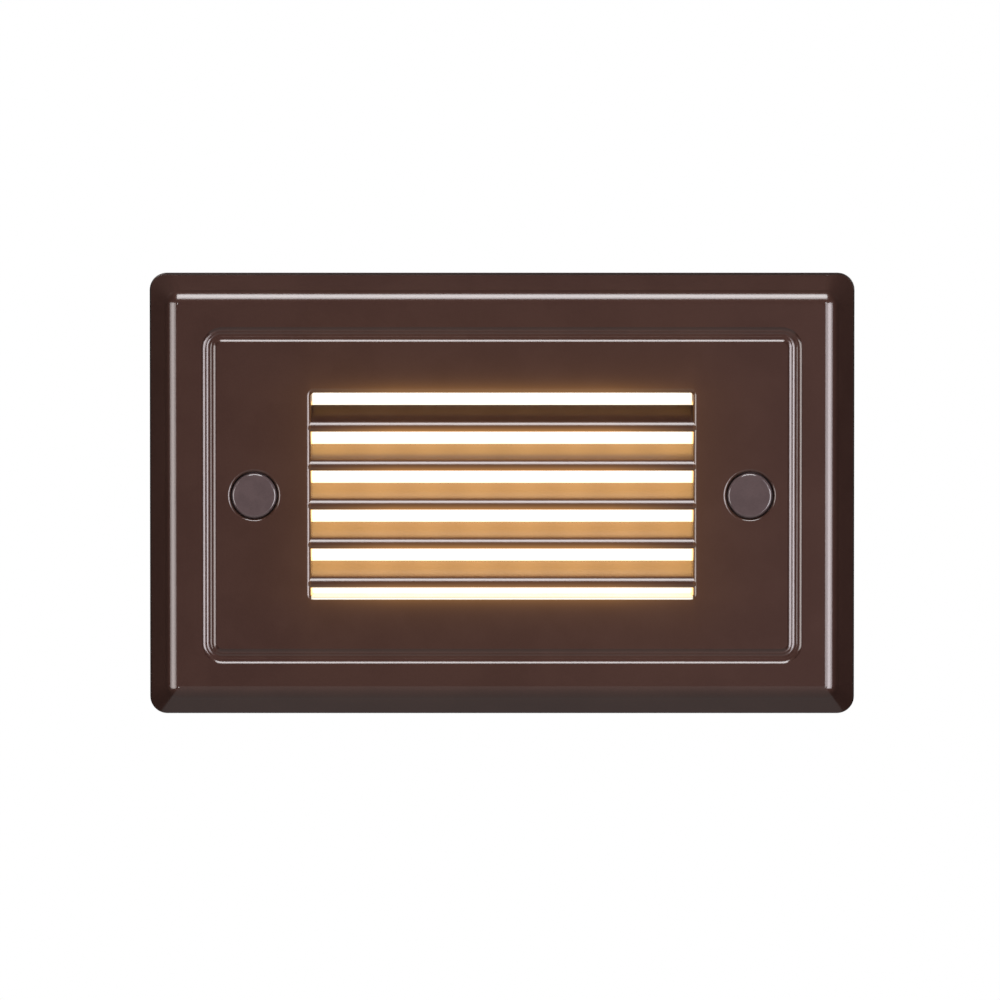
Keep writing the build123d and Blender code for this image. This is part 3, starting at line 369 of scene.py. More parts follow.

# %% [markdown]
# ## The lens's light, painted on the plate
#
# The lit lens also makes the casting round each slot glow: the foot of every lip
# turns amber, a narrow halo and a wide, faint haze lie on the face round the window,
# and the sill below the last slot is so bright that it looks white. None of this is
# traced: a group paints it on the casting as a glow that fades with the distance
# from the slot, so the amber lip feet, the halo, the haze and the white sill are all
# painted light. The lips repeat, so one rule, repeated at the blades' pitch, serves
# all of them.

# %% Build the spill group
spill, use, end = new_group(
    "amber_spill",
    "ShaderNodeTree",
    [
        ("Place", VECTOR, None),
        ("Spill Colour", COLOUR, (0.60, 0.27, 0.06, 1.0)),
        ("Lip Pitch", NUMBER, 6.57 * MM),
        ("Lowest Foot", NUMBER, -15.575 * MM),
        ("Lip Reach", NUMBER, 0.55 * MM),
        ("Lowest Lip Share", NUMBER, 0.65),
        ("Window Half Width", NUMBER, 32.1 * MM),
        ("Window Half Height", NUMBER, 17.175 * MM),
        ("Window Rise", NUMBER, 0.1 * MM),
        ("Halo Reach", NUMBER, 1.0 * MM),
        ("Halo Share", NUMBER, 0.42),
        ("Side Fall", NUMBER, 2.5),
        ("Haze Reach", NUMBER, 6 * MM),
        ("Haze Share", NUMBER, 0.05),
        ("Sill Glow Colour", COLOUR, (0.95, 0.90, 0.68, 1.0)),
        ("End Fade", NUMBER, 14 * MM),
        ("End Level", NUMBER, 0.15),
    ],
    [("Colour", COLOUR)],
)
NOTHING = 1e-6
BLACK = (0.0, 0.0, 0.0, 1.0)
LIP_DEPTHS = (-5.6 * MM, -4.8 * MM)
LENS_DEPTHS = (-1.5 * MM, -1.0 * MM)
SILL_FRONT = (-0.5 * MM, -0.32 * MM)
SILL_BACK = (0.1 * MM, 0.2 * MM)
SECOND_LIP = (0.5, 0.9)


def fading(distance, reach):
    """Fall from 1 at no distance towards 0, as light does in milky plastic."""
    share = maths(spill, "DIVIDE", product(spill, distance, -1.0), reach)
    return maths(spill, "EXPONENT", share)


def past(value, limit):
    """How far a value lies past a limit, or 0."""
    return maths(spill, "MAXIMUM", maths(spill, "SUBTRACT", value, limit), 0.0)


axes = add(spill, "ShaderNodeSeparateXYZ", {0: use["Place"]}).outputs
from_centre = maths(spill, "ABSOLUTE", axes["X"])
height = maths(spill, "SUBTRACT", axes["Z"], use["Window Rise"])
beside = past(from_centre, use["Window Half Width"])
beyond = past(maths(spill, "ABSOLUTE", height), use["Window Half Height"])
near = maths(spill, "MULTIPLY_ADD", beside, use["Side Fall"], beyond)
inside = maths(spill, "LESS_THAN", near, NOTHING)
outside = maths(spill, "SUBTRACT", 1.0, inside)

# Painted glow: the amber foot of every lip, repeated at the lip pitch.
from_foot = maths(spill, "SUBTRACT", axes["Z"], use["Lowest Foot"])
turns = maths(spill, "DIVIDE", from_foot, use["Lip Pitch"])
above_foot = product(spill, maths(spill, "FRACT", turns), use["Lip Pitch"])
lip_share = smooth_step(spill, turns, *SECOND_LIP, use["Lowest Lip Share"], 1.0)
lip_glow = product(spill, fading(above_foot, use["Lip Reach"]), inside, lip_share)

# Painted glow: a halo and a faint haze on the face round the window.
halo = product(spill, fading(near, use["Halo Reach"]), use["Halo Share"])
haze = fading(maths(spill, "ADD", beside, beyond), use["Haze Reach"])
haze = product(spill, haze, use["Haze Share"])
end_start = maths(spill, "SUBTRACT", use["Window Half Width"], use["End Fade"])
span = {0: from_centre, 1: end_start, 2: use["Window Half Width"], 3: 1.0, 4: use["End Level"]}
ends = add(spill, "ShaderNodeMapRange", span).outputs[0]
level = maths(spill, "MULTIPLY_ADD", halo, outside, lip_glow)
level = product(spill, level, ends)
level = maths(spill, "MULTIPLY_ADD", haze, outside, level)
level = product(spill, level, smooth_step(spill, axes["Y"], *LIP_DEPTHS, 1.0, 0.0))
spilt = blend_colour(spill, level, BLACK, use["Spill Colour"])

# Painted glow: the sill below the last slot, painted near white.
above_sill = maths(spill, "ADD", height, use["Window Half Height"])
sill = product(
    spill,
    smooth_step(spill, above_sill, *SILL_FRONT),
    smooth_step(spill, above_sill, *SILL_BACK, 1.0, 0.0),
    smooth_step(spill, axes["Y"], *LENS_DEPTHS, 1.0, 0.0),
    maths(spill, "LESS_THAN", beside, NOTHING),
)
finish_group(spill, end, Colour=blend_colour(spill, sill, spilt, use["Sill Glow Colour"]))

# %% [markdown]
# ## The bronze faceplate
#
# Bronze powder holds fine metal flakes in a paint, so the metal input is half way.
# The flakes make the flat face brighter than the bevels, which turn away from the
# lamps. A hard clear coat over them gives the clean strip on the ridges. Its IOR is
# high, so the lamps can stay at a plain level, where a colour renders as written.

# %% Finish the faceplate


def coated(name, group, settings, bump, light=None, **shell):
    """A Principled material fed by a surface group. Bump is (strength, depth in metres)."""
    material, tree, output = new_material(name)
    place = add(tree, "ShaderNodeTexCoord").outputs["Object"]
    skin = add(tree, "ShaderNodeGroup", node_tree=group)
    tree.links.new(place, skin.inputs["Place"])
    for socket, value in settings.items():
        skin.inputs[socket].default_value = value
    inputs = {
        "Base Color": skin.outputs["Colour"],
        "Roughness": skin.outputs["Roughness"],
        "Normal": bumped(tree, skin.outputs["Height"], *bump),
    }
    # A light group paints a glow onto the surface through its emission.
    if light:
        glow = add(tree, "ShaderNodeGroup", node_tree=light)
        tree.links.new(place, glow.inputs["Place"])
        inputs["Emission Color"] = glow.outputs["Colour"]
        inputs["Emission Strength"] = 1.0
    inputs.update({socket.replace("_", " "): value for socket, value in shell.items()})
    plain_surface(tree, output, inputs)
    return material


def dress(material, slot, *names):
    """Give CAD nodes a finished material in place of their plain one."""
    for name in names:
        mesh = node_of[name].data
        mesh.materials.clear()
        mesh.materials.append(material)
    print(slot, "->", ", ".join(names))


# The coat carries the amber_spill group's painted glow round the slots.
bronze_coat = coated(
    "bronze_coat",
    powder,
    {
        "Light Colour": (0.095, 0.045, 0.0345, 1.0),
        "Dark Colour": (0.081, 0.037, 0.0285, 1.0),
        "Peel Size": 1.0 * MM,
        "Grain Size": 0.22 * MM,
        "Grain Share": 0.45,
        "Smoothest": 0.42,
        "Roughest": 0.52,
    },
    (0.2, 0.01 * MM),
    light=spill,
    Metallic=0.5,
    Coat_Weight=1.0,
    Coat_Roughness=0.14,
    Coat_IOR=1.95,
    Specular_IOR_Level=0.05,
)
dress(bronze_coat, "bronze_coat", "faceplate")

# %% [markdown]
# ## The screw caps
#
# The two caps are moulded in a greyer rubber that only roughly matches the plate.
# They use the powder group with finer grain and mottling, and no metal. A rubber cap
# fresh from its mould has a shine, which shows as the bright ring round each rim.

# %% Finish the caps
cap_rubber = coated(
    "cap_rubber",
    powder,
    {
        "Light Colour": (0.148, 0.101, 0.101, 1.0),
        "Dark Colour": (0.120, 0.082, 0.082, 1.0),
        "Peel Size": 0.7 * MM,
        "Grain Size": 0.16 * MM,
        "Mottle Size": 2.4 * MM,
        "Grain Share": 0.5,
        "Smoothest": 0.42,
        "Roughest": 0.52,
    },
    (0.3, 0.015 * MM),
    Coat_Weight=0.9,
    Coat_Roughness=0.1,
    Coat_IOR=2.1,
    Specular_IOR_Level=0.1,
)
dress(cap_rubber, "cap_rubber", "screw_cap_left", "screw_cap_right")

# %% [markdown]
# ## The glowing lens
#
# The lens is opal plastic with LEDs behind it, in the amber white of a 2700 K lamp.
# In the photograph the slots clip to white, while the blades that the lens lights
# are amber. One colour can't give both, so the material asks the Light Path node
# whether the camera looks straight at the lens, which is then white, or whether a
# blade gathers its light. The light box's wall dims the lens's upper edge, so the
# first blade gets little of that light.

# %% Build the glow group and finish the lens
glow, use, end = new_group(
    "lens_glow",
    "ShaderNodeTree",
    [
        ("Place", VECTOR, None),
        ("Bright Colour", COLOUR, (0.19, 0.18, 0.155, 1.0)),
        ("Edge Level", NUMBER, 1.0),
        ("Full Below", NUMBER, 14.6 * MM),
        ("Dim Above", NUMBER, 15.8 * MM),
        ("Lamp Pitch", NUMBER, 8.24 * MM),
    ],
    [("Colour", COLOUR), ("Height", NUMBER)],
)
RIPPLE = 0.05
axes = add(glow, "ShaderNodeSeparateXYZ", {0: use["Place"]}).outputs
fade = smooth_step(glow, axes["Z"], use["Full Below"], use["Dim Above"], 1.0, use["Edge Level"])
turns = maths(glow, "DIVIDE", axes["X"], use["Lamp Pitch"])
across = maths(glow, "COSINE", product(glow, turns, math.tau))
ripple = maths(glow, "MULTIPLY_ADD", across, -RIPPLE, 1.0 - RIPPLE)
level = product(glow, fade, ripple)
warm = blend_colour(glow, level, BLACK, use["Bright Colour"])
haze = noise(glow, use["Place"], 0.5 * MM, 2.0)
finish_group(glow, end, Colour=warm, Height=haze)

opal_lens, tree, output = new_material("opal_lens")
place = add(tree, "ShaderNodeTexCoord").outputs["Object"]
lit = add(tree, "ShaderNodeGroup", node_tree=glow)
tree.links.new(place, lit.inputs["Place"])
gathered = add(tree, "ShaderNodeGroup", node_tree=glow)
tree.links.new(place, gathered.inputs["Place"])
gathered.inputs["Bright Colour"].default_value = (0.53, 0.30, 0.10, 1.0)
gathered.inputs["Edge Level"].default_value = 0.1
straight = add(tree, "ShaderNodeLightPath").outputs["Is Camera Ray"]
lens_colour = blend_colour(tree, straight, gathered.outputs["Colour"], lit.outputs["Colour"])
plain_surface(
    tree,
    output,
    {
        "Base Color": (0.92, 0.9, 0.86, 1.0),
        "Roughness": 0.35,
        "Emission Color": lens_colour,
        "Emission Strength": 6.0,
        "Normal": bumped(tree, lit.outputs["Height"], 0.2, 0.01 * MM),
    },
)
dress(opal_lens, "opal_lens", "diffuser_lens")

# %% [markdown]
# ## The rear housing
#
# The tub behind the plate is a die casting with a thinner coat, which nobody sees
# once the light is in the wall. The cast skin shows through it: broad shallow
# ripples where the metal flowed, and fine pits. It is the powder group again, with
# larger waves, more depth and a duller coat.

# %% Finish the housing
housing_casting = coated(
    "housing_casting",
    powder,
    {
        "Light Colour": (0.064, 0.036, 0.028, 1.0),
        "Dark Colour": (0.046, 0.024, 0.018, 1.0),
        "Peel Size": 2.6 * MM,
        "Grain Size": 0.35 * MM,
        "Mottle Size": 14 * MM,
        "Grain Share": 0.55,
        "Smoothest": 0.42,
        "Roughest": 0.56,
    },
    (0.45, 0.05 * MM),
    Coat_Weight=0.3,
    Coat_Roughness=0.3,
)
dress(housing_casting, "housing_casting", "rear_housing")

# %% [markdown]
# ## Metals
#
# Zinc plate, rolled aluminium and brass differ in colour, but all show fine lines
# from how they were made. On a turned screw the lines run round the axis, and on
# rolled sheet they run straight. One group stretches noise along a chosen
# direction, and darkens the colour where dirt and oxide gather in larger patches.

# %% Build the worked metal group
worked, use, end = new_group(
    "worked_metal",
    "ShaderNodeTree",
    [
        ("Place", VECTOR, None),
        ("Stretch", VECTOR, (1.0, 1.0, 1.0)),
        ("Metal Colour", COLOUR, (0.6, 0.6, 0.6, 1.0)),
        ("Dull Colour", COLOUR, (0.4, 0.4, 0.4, 1.0)),
        ("Line Size", NUMBER, 0.12 * MM),
        ("Patch Size", NUMBER, 2.5 * MM),
        ("Smoothest", NUMBER, 0.22),
        ("Roughest", NUMBER, 0.42),
    ],
    [("Colour", COLOUR), ("Roughness", NUMBER), ("Height", NUMBER)],
)
drawn = add(
    worked,
    "ShaderNodeVectorMath",
    {0: use["Place"], 1: use["Stretch"]},
    operation="MULTIPLY",
).outputs[0]
lines = noise(worked, drawn, use["Line Size"], 3.0)
patch = smooth_step(worked, noise(worked, use["Place"], use["Patch Size"], 4.0), 0.42, 0.7)
dirt = product(worked, patch, smooth_step(worked, lines, 0.3, 0.7, 0.5, 1.0))
metal = blend_colour(worked, dirt, use["Metal Colour"], use["Dull Colour"])
rough = maths(worked, "MULTIPLY_ADD", lines, 0.5, product(worked, patch, 0.5))
spread = add(worked, "ShaderNodeMapRange", {0: rough, 3: use["Smoothest"], 4: use["Roughest"]})
finish_group(worked, end, Colour=metal, Roughness=spread.outputs[0], Height=lines)

# %% Finish the metals
# Each metal: bright colour, dull colour, and how the noise is stretched.
METALS = {
    "zinc_steel": ((0.64, 0.65, 0.67), (0.42, 0.43, 0.42), (1.0, 6.0, 1.0)),
    "green_steel": ((0.06, 0.33, 0.14), (0.03, 0.16, 0.07), (1.0, 6.0, 1.0)),
    "aluminium_sheet": ((0.78, 0.79, 0.80), (0.62, 0.63, 0.64), (0.08, 1.0, 1.0)),
    "pin_brass": ((0.74, 0.56, 0.24), (0.45, 0.32, 0.14), (1.0, 0.3, 1.0)),
}
metal_of = {}
for name, (bright, dull, stretch) in METALS.items():
    settings = {"Metal Colour": (*bright, 1.0), "Dull Colour": (*dull, 1.0), "Stretch": stretch}
    metal_of[name] = coated(name, worked, settings, (0.25, 0.006 * MM), Metallic=1.0)
dress(metal_of["zinc_steel"], "zinc_steel", "board_screws", "housing_screws")
dress(metal_of["green_steel"], "green_steel", "ground_screw")
dress(metal_of["aluminium_sheet"], "aluminium_sheet", "heat_spreader")
dress(metal_of["pin_brass"], "pin_brass", "link_pins")

# %% [markdown]
# ## Rubber, foam and moulded plastic
#
# Most of the small pieces are moulded. A mould leaves an even skin with a faint
# spark-eroded grain and slow changes of tone where the plastic flowed. The powder
# group already makes such a skin, so a table of colours, grain sizes and roughness
# is enough. Foam gets a group of its own, because its cells are round pits, which it
# paints darker than the cell walls as painted shade.

# %% Finish the moulded pieces
# Each skin: colour, smoothest, roughest, grain and bump depth in mm, and its pieces.
LIGHTER, DARKER = 1.06, 0.9
MOULDED = {
    "silicone": ((0.55, 0.55, 0.53), 0.30, 0.42, 0.5, 0.02, ("housing_seal", "lens_gasket")),
    "white_plastic": ((0.86, 0.86, 0.84), 0.25, 0.33, 0.4, 0.01, ("reflector_frame",)),
    "pad_silicone": ((0.30, 0.38, 0.48), 0.55, 0.68, 0.3, 0.03, ("thermal_pad",)),
    "black_rubber": ((0.018, 0.018, 0.018), 0.5, 0.62, 0.3, 0.03, ("cable_grommet",)),
    "tray_plastic": ((0.70, 0.70, 0.68), 0.38, 0.50, 0.5, 0.02, ("insulator_tray",)),
    "terminal_plastic": ((0.04, 0.20, 0.11), 0.30, 0.42, 0.3, 0.02, ("terminal_block",)),
    "fuse_body": ((0.55, 0.50, 0.42), 0.70, 0.85, 0.35, 0.05, ("fuse",)),
    "film_box": ((0.72, 0.60, 0.12), 0.32, 0.42, 0.4, 0.015, ("film_capacitor",)),
    "varistor_blue": ((0.05, 0.12, 0.40), 0.22, 0.36, 1.2, 0.05, ("varistor",)),
    "black_epoxy": (
        (0.02, 0.02, 0.022),
        0.50,
        0.66,
        0.15,
        0.012,
        ("bridge_rectifier", "driver_chip", "link_header"),
    ),
    "can_sleeve": (
        (0.03, 0.03, 0.04),
        0.16,
        0.26,
        1.5,
        0.02,
        ("bulk_capacitor", "output_capacitor"),
    ),
    "ferrite": ((0.06, 0.06, 0.065), 0.52, 0.72, 0.25, 0.03, ("transformer_core",)),
}
for name, (colour, smoothest, roughest, grain_mm, deep_mm, pieces) in MOULDED.items():
    settings = {
        "Light Colour": (*[LIGHTER * part for part in colour], 1.0),
        "Dark Colour": (*[DARKER * part for part in colour], 1.0),
        "Peel Size": 3 * grain_mm * MM,
        "Grain Size": 0.5 * grain_mm * MM,
        "Mottle Size": 6 * MM,
        "Smoothest": smoothest,
        "Roughest": roughest,
    }
    dress(coated(name, powder, settings, (0.35, deep_mm * MM)), name, *pieces)

# %% Build the foam group and finish the wall gasket
foam, use, end = new_group(
    "foam_cells",
    "ShaderNodeTree",
    [
        ("Place", VECTOR, None),
        ("Cell Size", NUMBER, 0.45 * MM),
        ("Wall Colour", COLOUR, (0.032, 0.032, 0.034, 1.0)),
        ("Pit Shade Colour", COLOUR, (0.006, 0.006, 0.006, 1.0)),
    ],
    [("Colour", COLOUR), ("Roughness", NUMBER), ("Height", NUMBER)],
)
density = maths(foam, "DIVIDE", 1.0, use["Cell Size"])
grid = {"Vector": use["Place"], "Scale": density, "Randomness": 0.9}
cells = add(foam, "ShaderNodeTexVoronoi", grid)
pits = smooth_step(foam, cells.outputs["Distance"], 0.12, 0.5)
patch_size = product(foam, use["Cell Size"], 3.0)
open_cells = smooth_step(foam, noise(foam, use["Place"], patch_size, 2.0), 0.4, 0.6)
level = maths(foam, "MAXIMUM", pits, product(foam, open_cells, 0.6))
# Painted shade: each cell's pit is darker than its walls.
tone = blend_colour(foam, level, use["Pit Shade Colour"], use["Wall Colour"])
dull = smooth_step(foam, level, 0.0, 1.0, 0.95, 0.8)
finish_group(foam, end, Colour=tone, Roughness=dull, Height=level)
foam_rubber = coated("foam_rubber", foam, {}, (0.6, 0.12 * MM))
dress(foam_rubber, "foam_rubber", "wall_gasket")

# %% [markdown]
# ## The two circuit boards
#
# A board is glass cloth in resin under a coat of solder mask. Through the mask one
# sees the faint weave of the cloth, and the copper tracks as slightly raised
# lines. Two crossed waves make the weave, and blocky cells make tracks that turn
# at right angles. The LED board has white mask, the driver board green.

# %% Build the board group and finish both boards
board, use, end = new_group(
    "masked_board",
    "ShaderNodeTree",
    [
        ("Place", VECTOR, None),
        ("Mask Colour", COLOUR, (0.02, 0.16, 0.07, 1.0)),
        ("Track Colour", COLOUR, (0.04, 0.26, 0.11, 1.0)),
        ("Thread Size", NUMBER, 0.5 * MM),
        ("Track Size", NUMBER, 3.2 * MM),
    ],
    [("Colour", COLOUR), ("Roughness", NUMBER), ("Height", NUMBER)],
)
axes = add(board, "ShaderNodeSeparateXYZ", {0: use["Place"]}).outputs


def thread_wave(axis):
    """One set of parallel threads across an axis."""
    turns = maths(board, "DIVIDE", axes[axis], use["Thread Size"])
    return maths(board, "SINE", product(board, turns, math.tau))


weave = product(board, thread_wave("X"), thread_wave("Z"))
track_scale = maths(board, "DIVIDE", 1.0, use["Track Size"])
blocks = add(
    board,
    "ShaderNodeTexVoronoi",
    {"Vector": use["Place"], "Scale": track_scale, "Randomness": 0.75},
    distance="CHEBYCHEV",
    feature="F1",
)
tracks = smooth_step(board, blocks.outputs["Distance"], 0.26, 0.3, 1.0, 0.0)
fibres = maths(board, "MULTIPLY_ADD", weave, 0.06, 0.12)
share = maths(board, "ADD", product(board, tracks, 0.75), fibres)
tone = blend_colour(board, share, use["Mask Colour"], use["Track Colour"])
rise = maths(board, "ADD", tracks, product(board, weave, 0.08))
gloss = smooth_step(board, share, 0.0, 1.0, 0.32, 0.24)
finish_group(board, end, Colour=tone, Roughness=gloss, Height=rise)

BOARD_RELIEF = (0.4, 0.035 * MM)
green_board = coated("green_board", board, {}, BOARD_RELIEF)
white_board = coated(
    "white_board",
    board,
    {
        "Mask Colour": (0.84, 0.84, 0.82, 1.0),
        "Track Colour": (0.90, 0.90, 0.88, 1.0),
        "Track Size": 6 * MM,
    },
    BOARD_RELIEF,
)
dress(green_board, "green_board", "driver_board")
dress(white_board, "white_board", "led_board")

# %% [markdown]
# ## The transformer's winding
#
# The coil is wrapped in yellow polyester tape. The tape is drawn tight over the
# turns of wire, which print through it as fine ridges, one per wire, and it gets
# darker where two layers lie over each other. A wave along the coil's axis makes
# the ridges.

# %% Build the tape group and finish the winding
tape, use, end = new_group(
    "wound_tape",
    "ShaderNodeTree",
    [
        ("Place", VECTOR, None),
        ("Tape Colour", COLOUR, (0.78, 0.60, 0.10, 1.0)),
        ("Lap Colour", COLOUR, (0.55, 0.36, 0.04, 1.0)),
        ("Wire Pitch", NUMBER, 0.4 * MM),
        ("Lap Pitch", NUMBER, 2.6 * MM),
    ],
    [("Colour", COLOUR), ("Roughness", NUMBER), ("Height", NUMBER)],
)
axes = add(tape, "ShaderNodeSeparateXYZ", {0: use["Place"]}).outputs
turns = product(tape, maths(tape, "DIVIDE", axes["Z"], use["Wire Pitch"]), math.tau)
wires = smooth_step(tape, maths(tape, "SINE", turns), -1.0, 1.0)
lap = maths(tape, "FRACT", maths(tape, "DIVIDE", axes["Z"], use["Lap Pitch"]))
overlap = smooth_step(tape, lap, 0.78, 0.8)
darker = product(tape, overlap, 0.5)
tone = blend_colour(tape, darker, use["Tape Colour"], use["Lap Colour"])
height = maths(tape, "ADD", wires, product(tape, overlap, 0.6))
gloss = smooth_step(tape, overlap, 0.0, 1.0, 0.3, 0.22)
finish_group(tape, end, Colour=tone, Roughness=gloss, Height=height)
winding_tape = coated("winding_tape", tape, {}, (0.4, 0.04 * MM))
dress(winding_tape, "winding_tape", "transformer_winding")

# %% [markdown]
# ## The LED packages
#
# Each LED is a white plastic cup filled with yellow phosphor, which turns the blue
# chip's light into warm white. The CAD node holds the twelve cups. The phosphor
# windows repeat on a grid, so Geometry Nodes make one round window and put a copy
# on each point. The tree's inputs are the grid's counts and spans.

# %% Helpers for Geometry Nodes


def geometry_tree(name, inputs):
    """A Geometry Nodes group with named inputs, a mesh input and a mesh output."""
    group, use, end = new_group(name, "GeometryNodeTree", inputs, [])
    group.interface.new_socket("Geometry", in_out="OUTPUT", socket_type="NodeSocketGeometry")
    return group, use, end


def close_tree(group, end, geometry, material):
    """End a tree in real geometry with a material."""
    real = add(group, "GeometryNodeRealizeInstances", {"Geometry": geometry}).outputs[0]
    painted = add(group, "GeometryNodeSetMaterial", {"Geometry": real, "Material": material})
    group.links.new(painted.outputs[0], end.inputs["Geometry"])


def copies_on(tree, points, shape):
    """A copy of a shape on every point."""
    inputs = {"Points": points, "Instance": shape}
    return add(tree, "GeometryNodeInstanceOnPoints", inputs).outputs[0]


def turn_and_move(tree, geometry, angle, place=(0.0, 0.0, 0.0)):
    """Turn a geometry about the X axis, then move it."""
    inputs = {"Geometry": geometry, "Rotation": (angle, 0.0, 0.0), "Translation": place}
    return add(tree, "GeometryNodeTransform", inputs).outputs[0]


def own_axes(tree):
    """The X, Y and Z of each point of a geometry."""
    place = add(tree, "GeometryNodeInputPosition").outputs[0]
    return add(tree, "ShaderNodeSeparateXYZ", {0: place}).outputs


def drawn_in(tree, geometry, axes, share):
    """Scale each point's distance from the Z axis by a share, and shade it smooth."""
    sides = {"X": product(tree, axes["X"], share), "Y": product(tree, axes["Y"], share)}
    place = add(tree, "ShaderNodeCombineXYZ", {**sides, "Z": axes["Z"]}).outputs[0]
    moved = add(tree, "GeometryNodeSetPosition", {"Geometry": geometry, "Position": place})
    return add(tree, "GeometryNodeSetShadeSmooth", {0: moved.outputs[0]}).outputs[0]


def grow(name, group, values, base=None):
    """Run a tree on a base mesh and return the plain mesh object that results."""
    base = base or bpy.data.meshes.new(name + "_base")
    seed = bpy.data.objects.new(name, base)
    scene.collection.objects.link(seed)
    modifier = seed.modifiers.new("tree", "NODES")
    modifier.node_group = group
    for item in group.interface.items_tree:
        if item.in_out == "INPUT" and item.name in values:
            modifier[item.identifier] = values[item.name]
    graph = bpy.context.evaluated_depsgraph_get()
    grown = bpy.data.meshes.new_from_object(seed.evaluated_get(graph), depsgraph=graph)
    seed.modifiers.clear()
    seed.data = grown
    grown.name = name
    print(name, "faces:", len(grown.polygons))
    return seed


MATERIAL, GEOMETRY, WHOLE = "NodeSocketMaterial", "NodeSocketGeometry", "NodeSocketInt"

# %% Grow the phosphor windows
phosphor, tree, output = new_material("led_phosphor")
place = add(tree, "ShaderNodeTexCoord").outputs["Object"]
grains = noise(tree, place, 0.08 * MM, 2.0)
tone = blend_colour(tree, grains, (0.92, 0.70, 0.16, 1.0), (0.98, 0.80, 0.24, 1.0))
plain_surface(
    tree,
    output,
    {
        "Base Color": tone,
        "Roughness": 0.3,
        "Emission Color": (1.0, 0.80, 0.45, 1.0),
        "Emission Strength": 6.0,
        "Normal": bumped(tree, grains, 0.3, 0.01 * MM),
    },
)

windows, use, end = geometry_tree(
    "window_grid",
    [
        ("Columns", WHOLE, 6),
        ("Rows", WHOLE, 2),
        ("Span Across", NUMBER, 41.2 * MM),
        ("Span Up", NUMBER, 11.55 * MM),
        ("Radius", NUMBER, 1.1 * MM),
        ("Depth", NUMBER, 0.1 * MM),
        ("Centre", VECTOR, None),
        ("Material", MATERIAL, None),
    ],
)
grid = add(
    windows,
    "GeometryNodeMeshGrid",
    {
        "Size X": use["Span Across"],
        "Size Y": use["Span Up"],
        "Vertices X": use["Columns"],
        "Vertices Y": use["Rows"],
    },
)
window = add(
    windows,
    "GeometryNodeMeshCylinder",
    {"Vertices": 24, "Radius": use["Radius"], "Depth": use["Depth"]},
    fill_type="NGON",
)
copies = copies_on(windows, grid.outputs["Mesh"], window.outputs["Mesh"])
upright = turn_and_move(windows, copies, math.pi / 2, use["Centre"])
close_tree(windows, end, upright, use["Material"])

LED_SIZE = (3.5 * MM, 2.8 * MM)
low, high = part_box("led_chips")
led_windows = grow(
    "led_windows",
    windows,
    {
        "Span Across": high.x - low.x - LED_SIZE[0],
        "Span Up": high.z - low.z - LED_SIZE[1],
        "Centre": (0.0, low.y, 0.0),
        "Material": phosphor,
    },
)
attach(led_windows, "fixture")
led_cup = coated(
    "led_cup",
    powder,
    {
        "Light Colour": (0.88, 0.87, 0.82, 1.0),
        "Dark Colour": (0.80, 0.79, 0.74, 1.0),
        "Grain Size": 0.1 * MM,
        "Peel Size": 0.5 * MM,
    },
    (0.2, 0.01 * MM),
)
dress(led_cup, "led_phosphor", "led_chips")

# %% [markdown]
# ## The mounting screws
#
# Two number 6 machine screws hold the light on the wall box. Their thread is a
# ridge that climbs 0.794 mm each turn. The head comes from the CAD solid. The
# thread is a rule: a point's height on the ridge depends only on its angle and its
# place along the axis. So Geometry Nodes start from a plain cylinder with many
# rings, and move each point in or out by that rule.

# %% Build the thread tree
thread, use, end = geometry_tree(
    "screw_thread",
    [
        ("Length", NUMBER, 16 * MM),
        ("Crest Radius", NUMBER, 1.75 * MM),
        ("Root Radius", NUMBER, 1.38 * MM),
        ("Pitch", NUMBER, 0.794 * MM),
        ("Sides", WHOLE, 36),
        ("Rings", WHOLE, 220),
        ("Run Out", NUMBER, 0.5 * MM),
        ("Start", VECTOR, None),
        ("Material", MATERIAL, None),
    ],
)
CREST_SHARE = 0.14
ROOT_FLAT = 0.24
SPARE_TURNS = 100.0
blank = add(
    thread,
    "GeometryNodeMeshCylinder",
    {
        "Vertices": use["Sides"],
        "Side Segments": use["Rings"],
        "Radius": use["Crest Radius"],
        "Depth": use["Length"],
    },
    fill_type="NGON",
).outputs["Mesh"]
axes = own_axes(thread)
angle = maths(thread, "DIVIDE", maths(thread, "ARCTAN2", axes["Y"], axes["X"]), math.tau)
climb = maths(thread, "SUBTRACT", maths(thread, "DIVIDE", axes["Z"], use["Pitch"]), angle)
phase = maths(thread, "FRACT", maths(thread, "ADD", climb, SPARE_TURNS))
from_crest = maths(thread, "ABSOLUTE", maths(thread, "MULTIPLY_ADD", phase, 2.0, -1.0))
flank = {0: from_crest, 1: CREST_SHARE, 2: 1.0 - ROOT_FLAT, 3: 1.0, 4: 0.0}
ridge = add(thread, "ShaderNodeMapRange", flank).outputs[0]
half = product(thread, use["Length"], 0.5)
to_end = maths(thread, "SUBTRACT", half, maths(thread, "ABSOLUTE", axes["Z"]))
taper = add(thread, "ShaderNodeMapRange", {0: to_end, 1: 0.0, 2: use["Run Out"]}).outputs[0]
rise = product(thread, ridge, taper)
root_share = maths(thread, "DIVIDE", use["Root Radius"], use["Crest Radius"])
share = add(thread, "ShaderNodeMapRange", {0: rise, 3: root_share, 4: 1.0}).outputs[0]
soft = drawn_in(thread, blank, axes, share)
to_middle = add(thread, "ShaderNodeCombineXYZ", {"Y": half}).outputs[0]
moves = {0: use["Start"], 1: to_middle}
centre = add(thread, "ShaderNodeVectorMath", moves, operation="ADD").outputs[0]
turned = turn_and_move(thread, soft, -math.pi / 2, centre)
close_tree(thread, end, turned, use["Material"])

# %% Grow the threads and join them to the heads
SHANK_END = 0.0
CORE_RADIUS = 1.2 * MM
THREAD_EDGE = 1.6 * MM
TIP_INSET = 0.3 * MM
TOLERANCE = 1e-6
SHARP_ANGLE = math.radians(32)


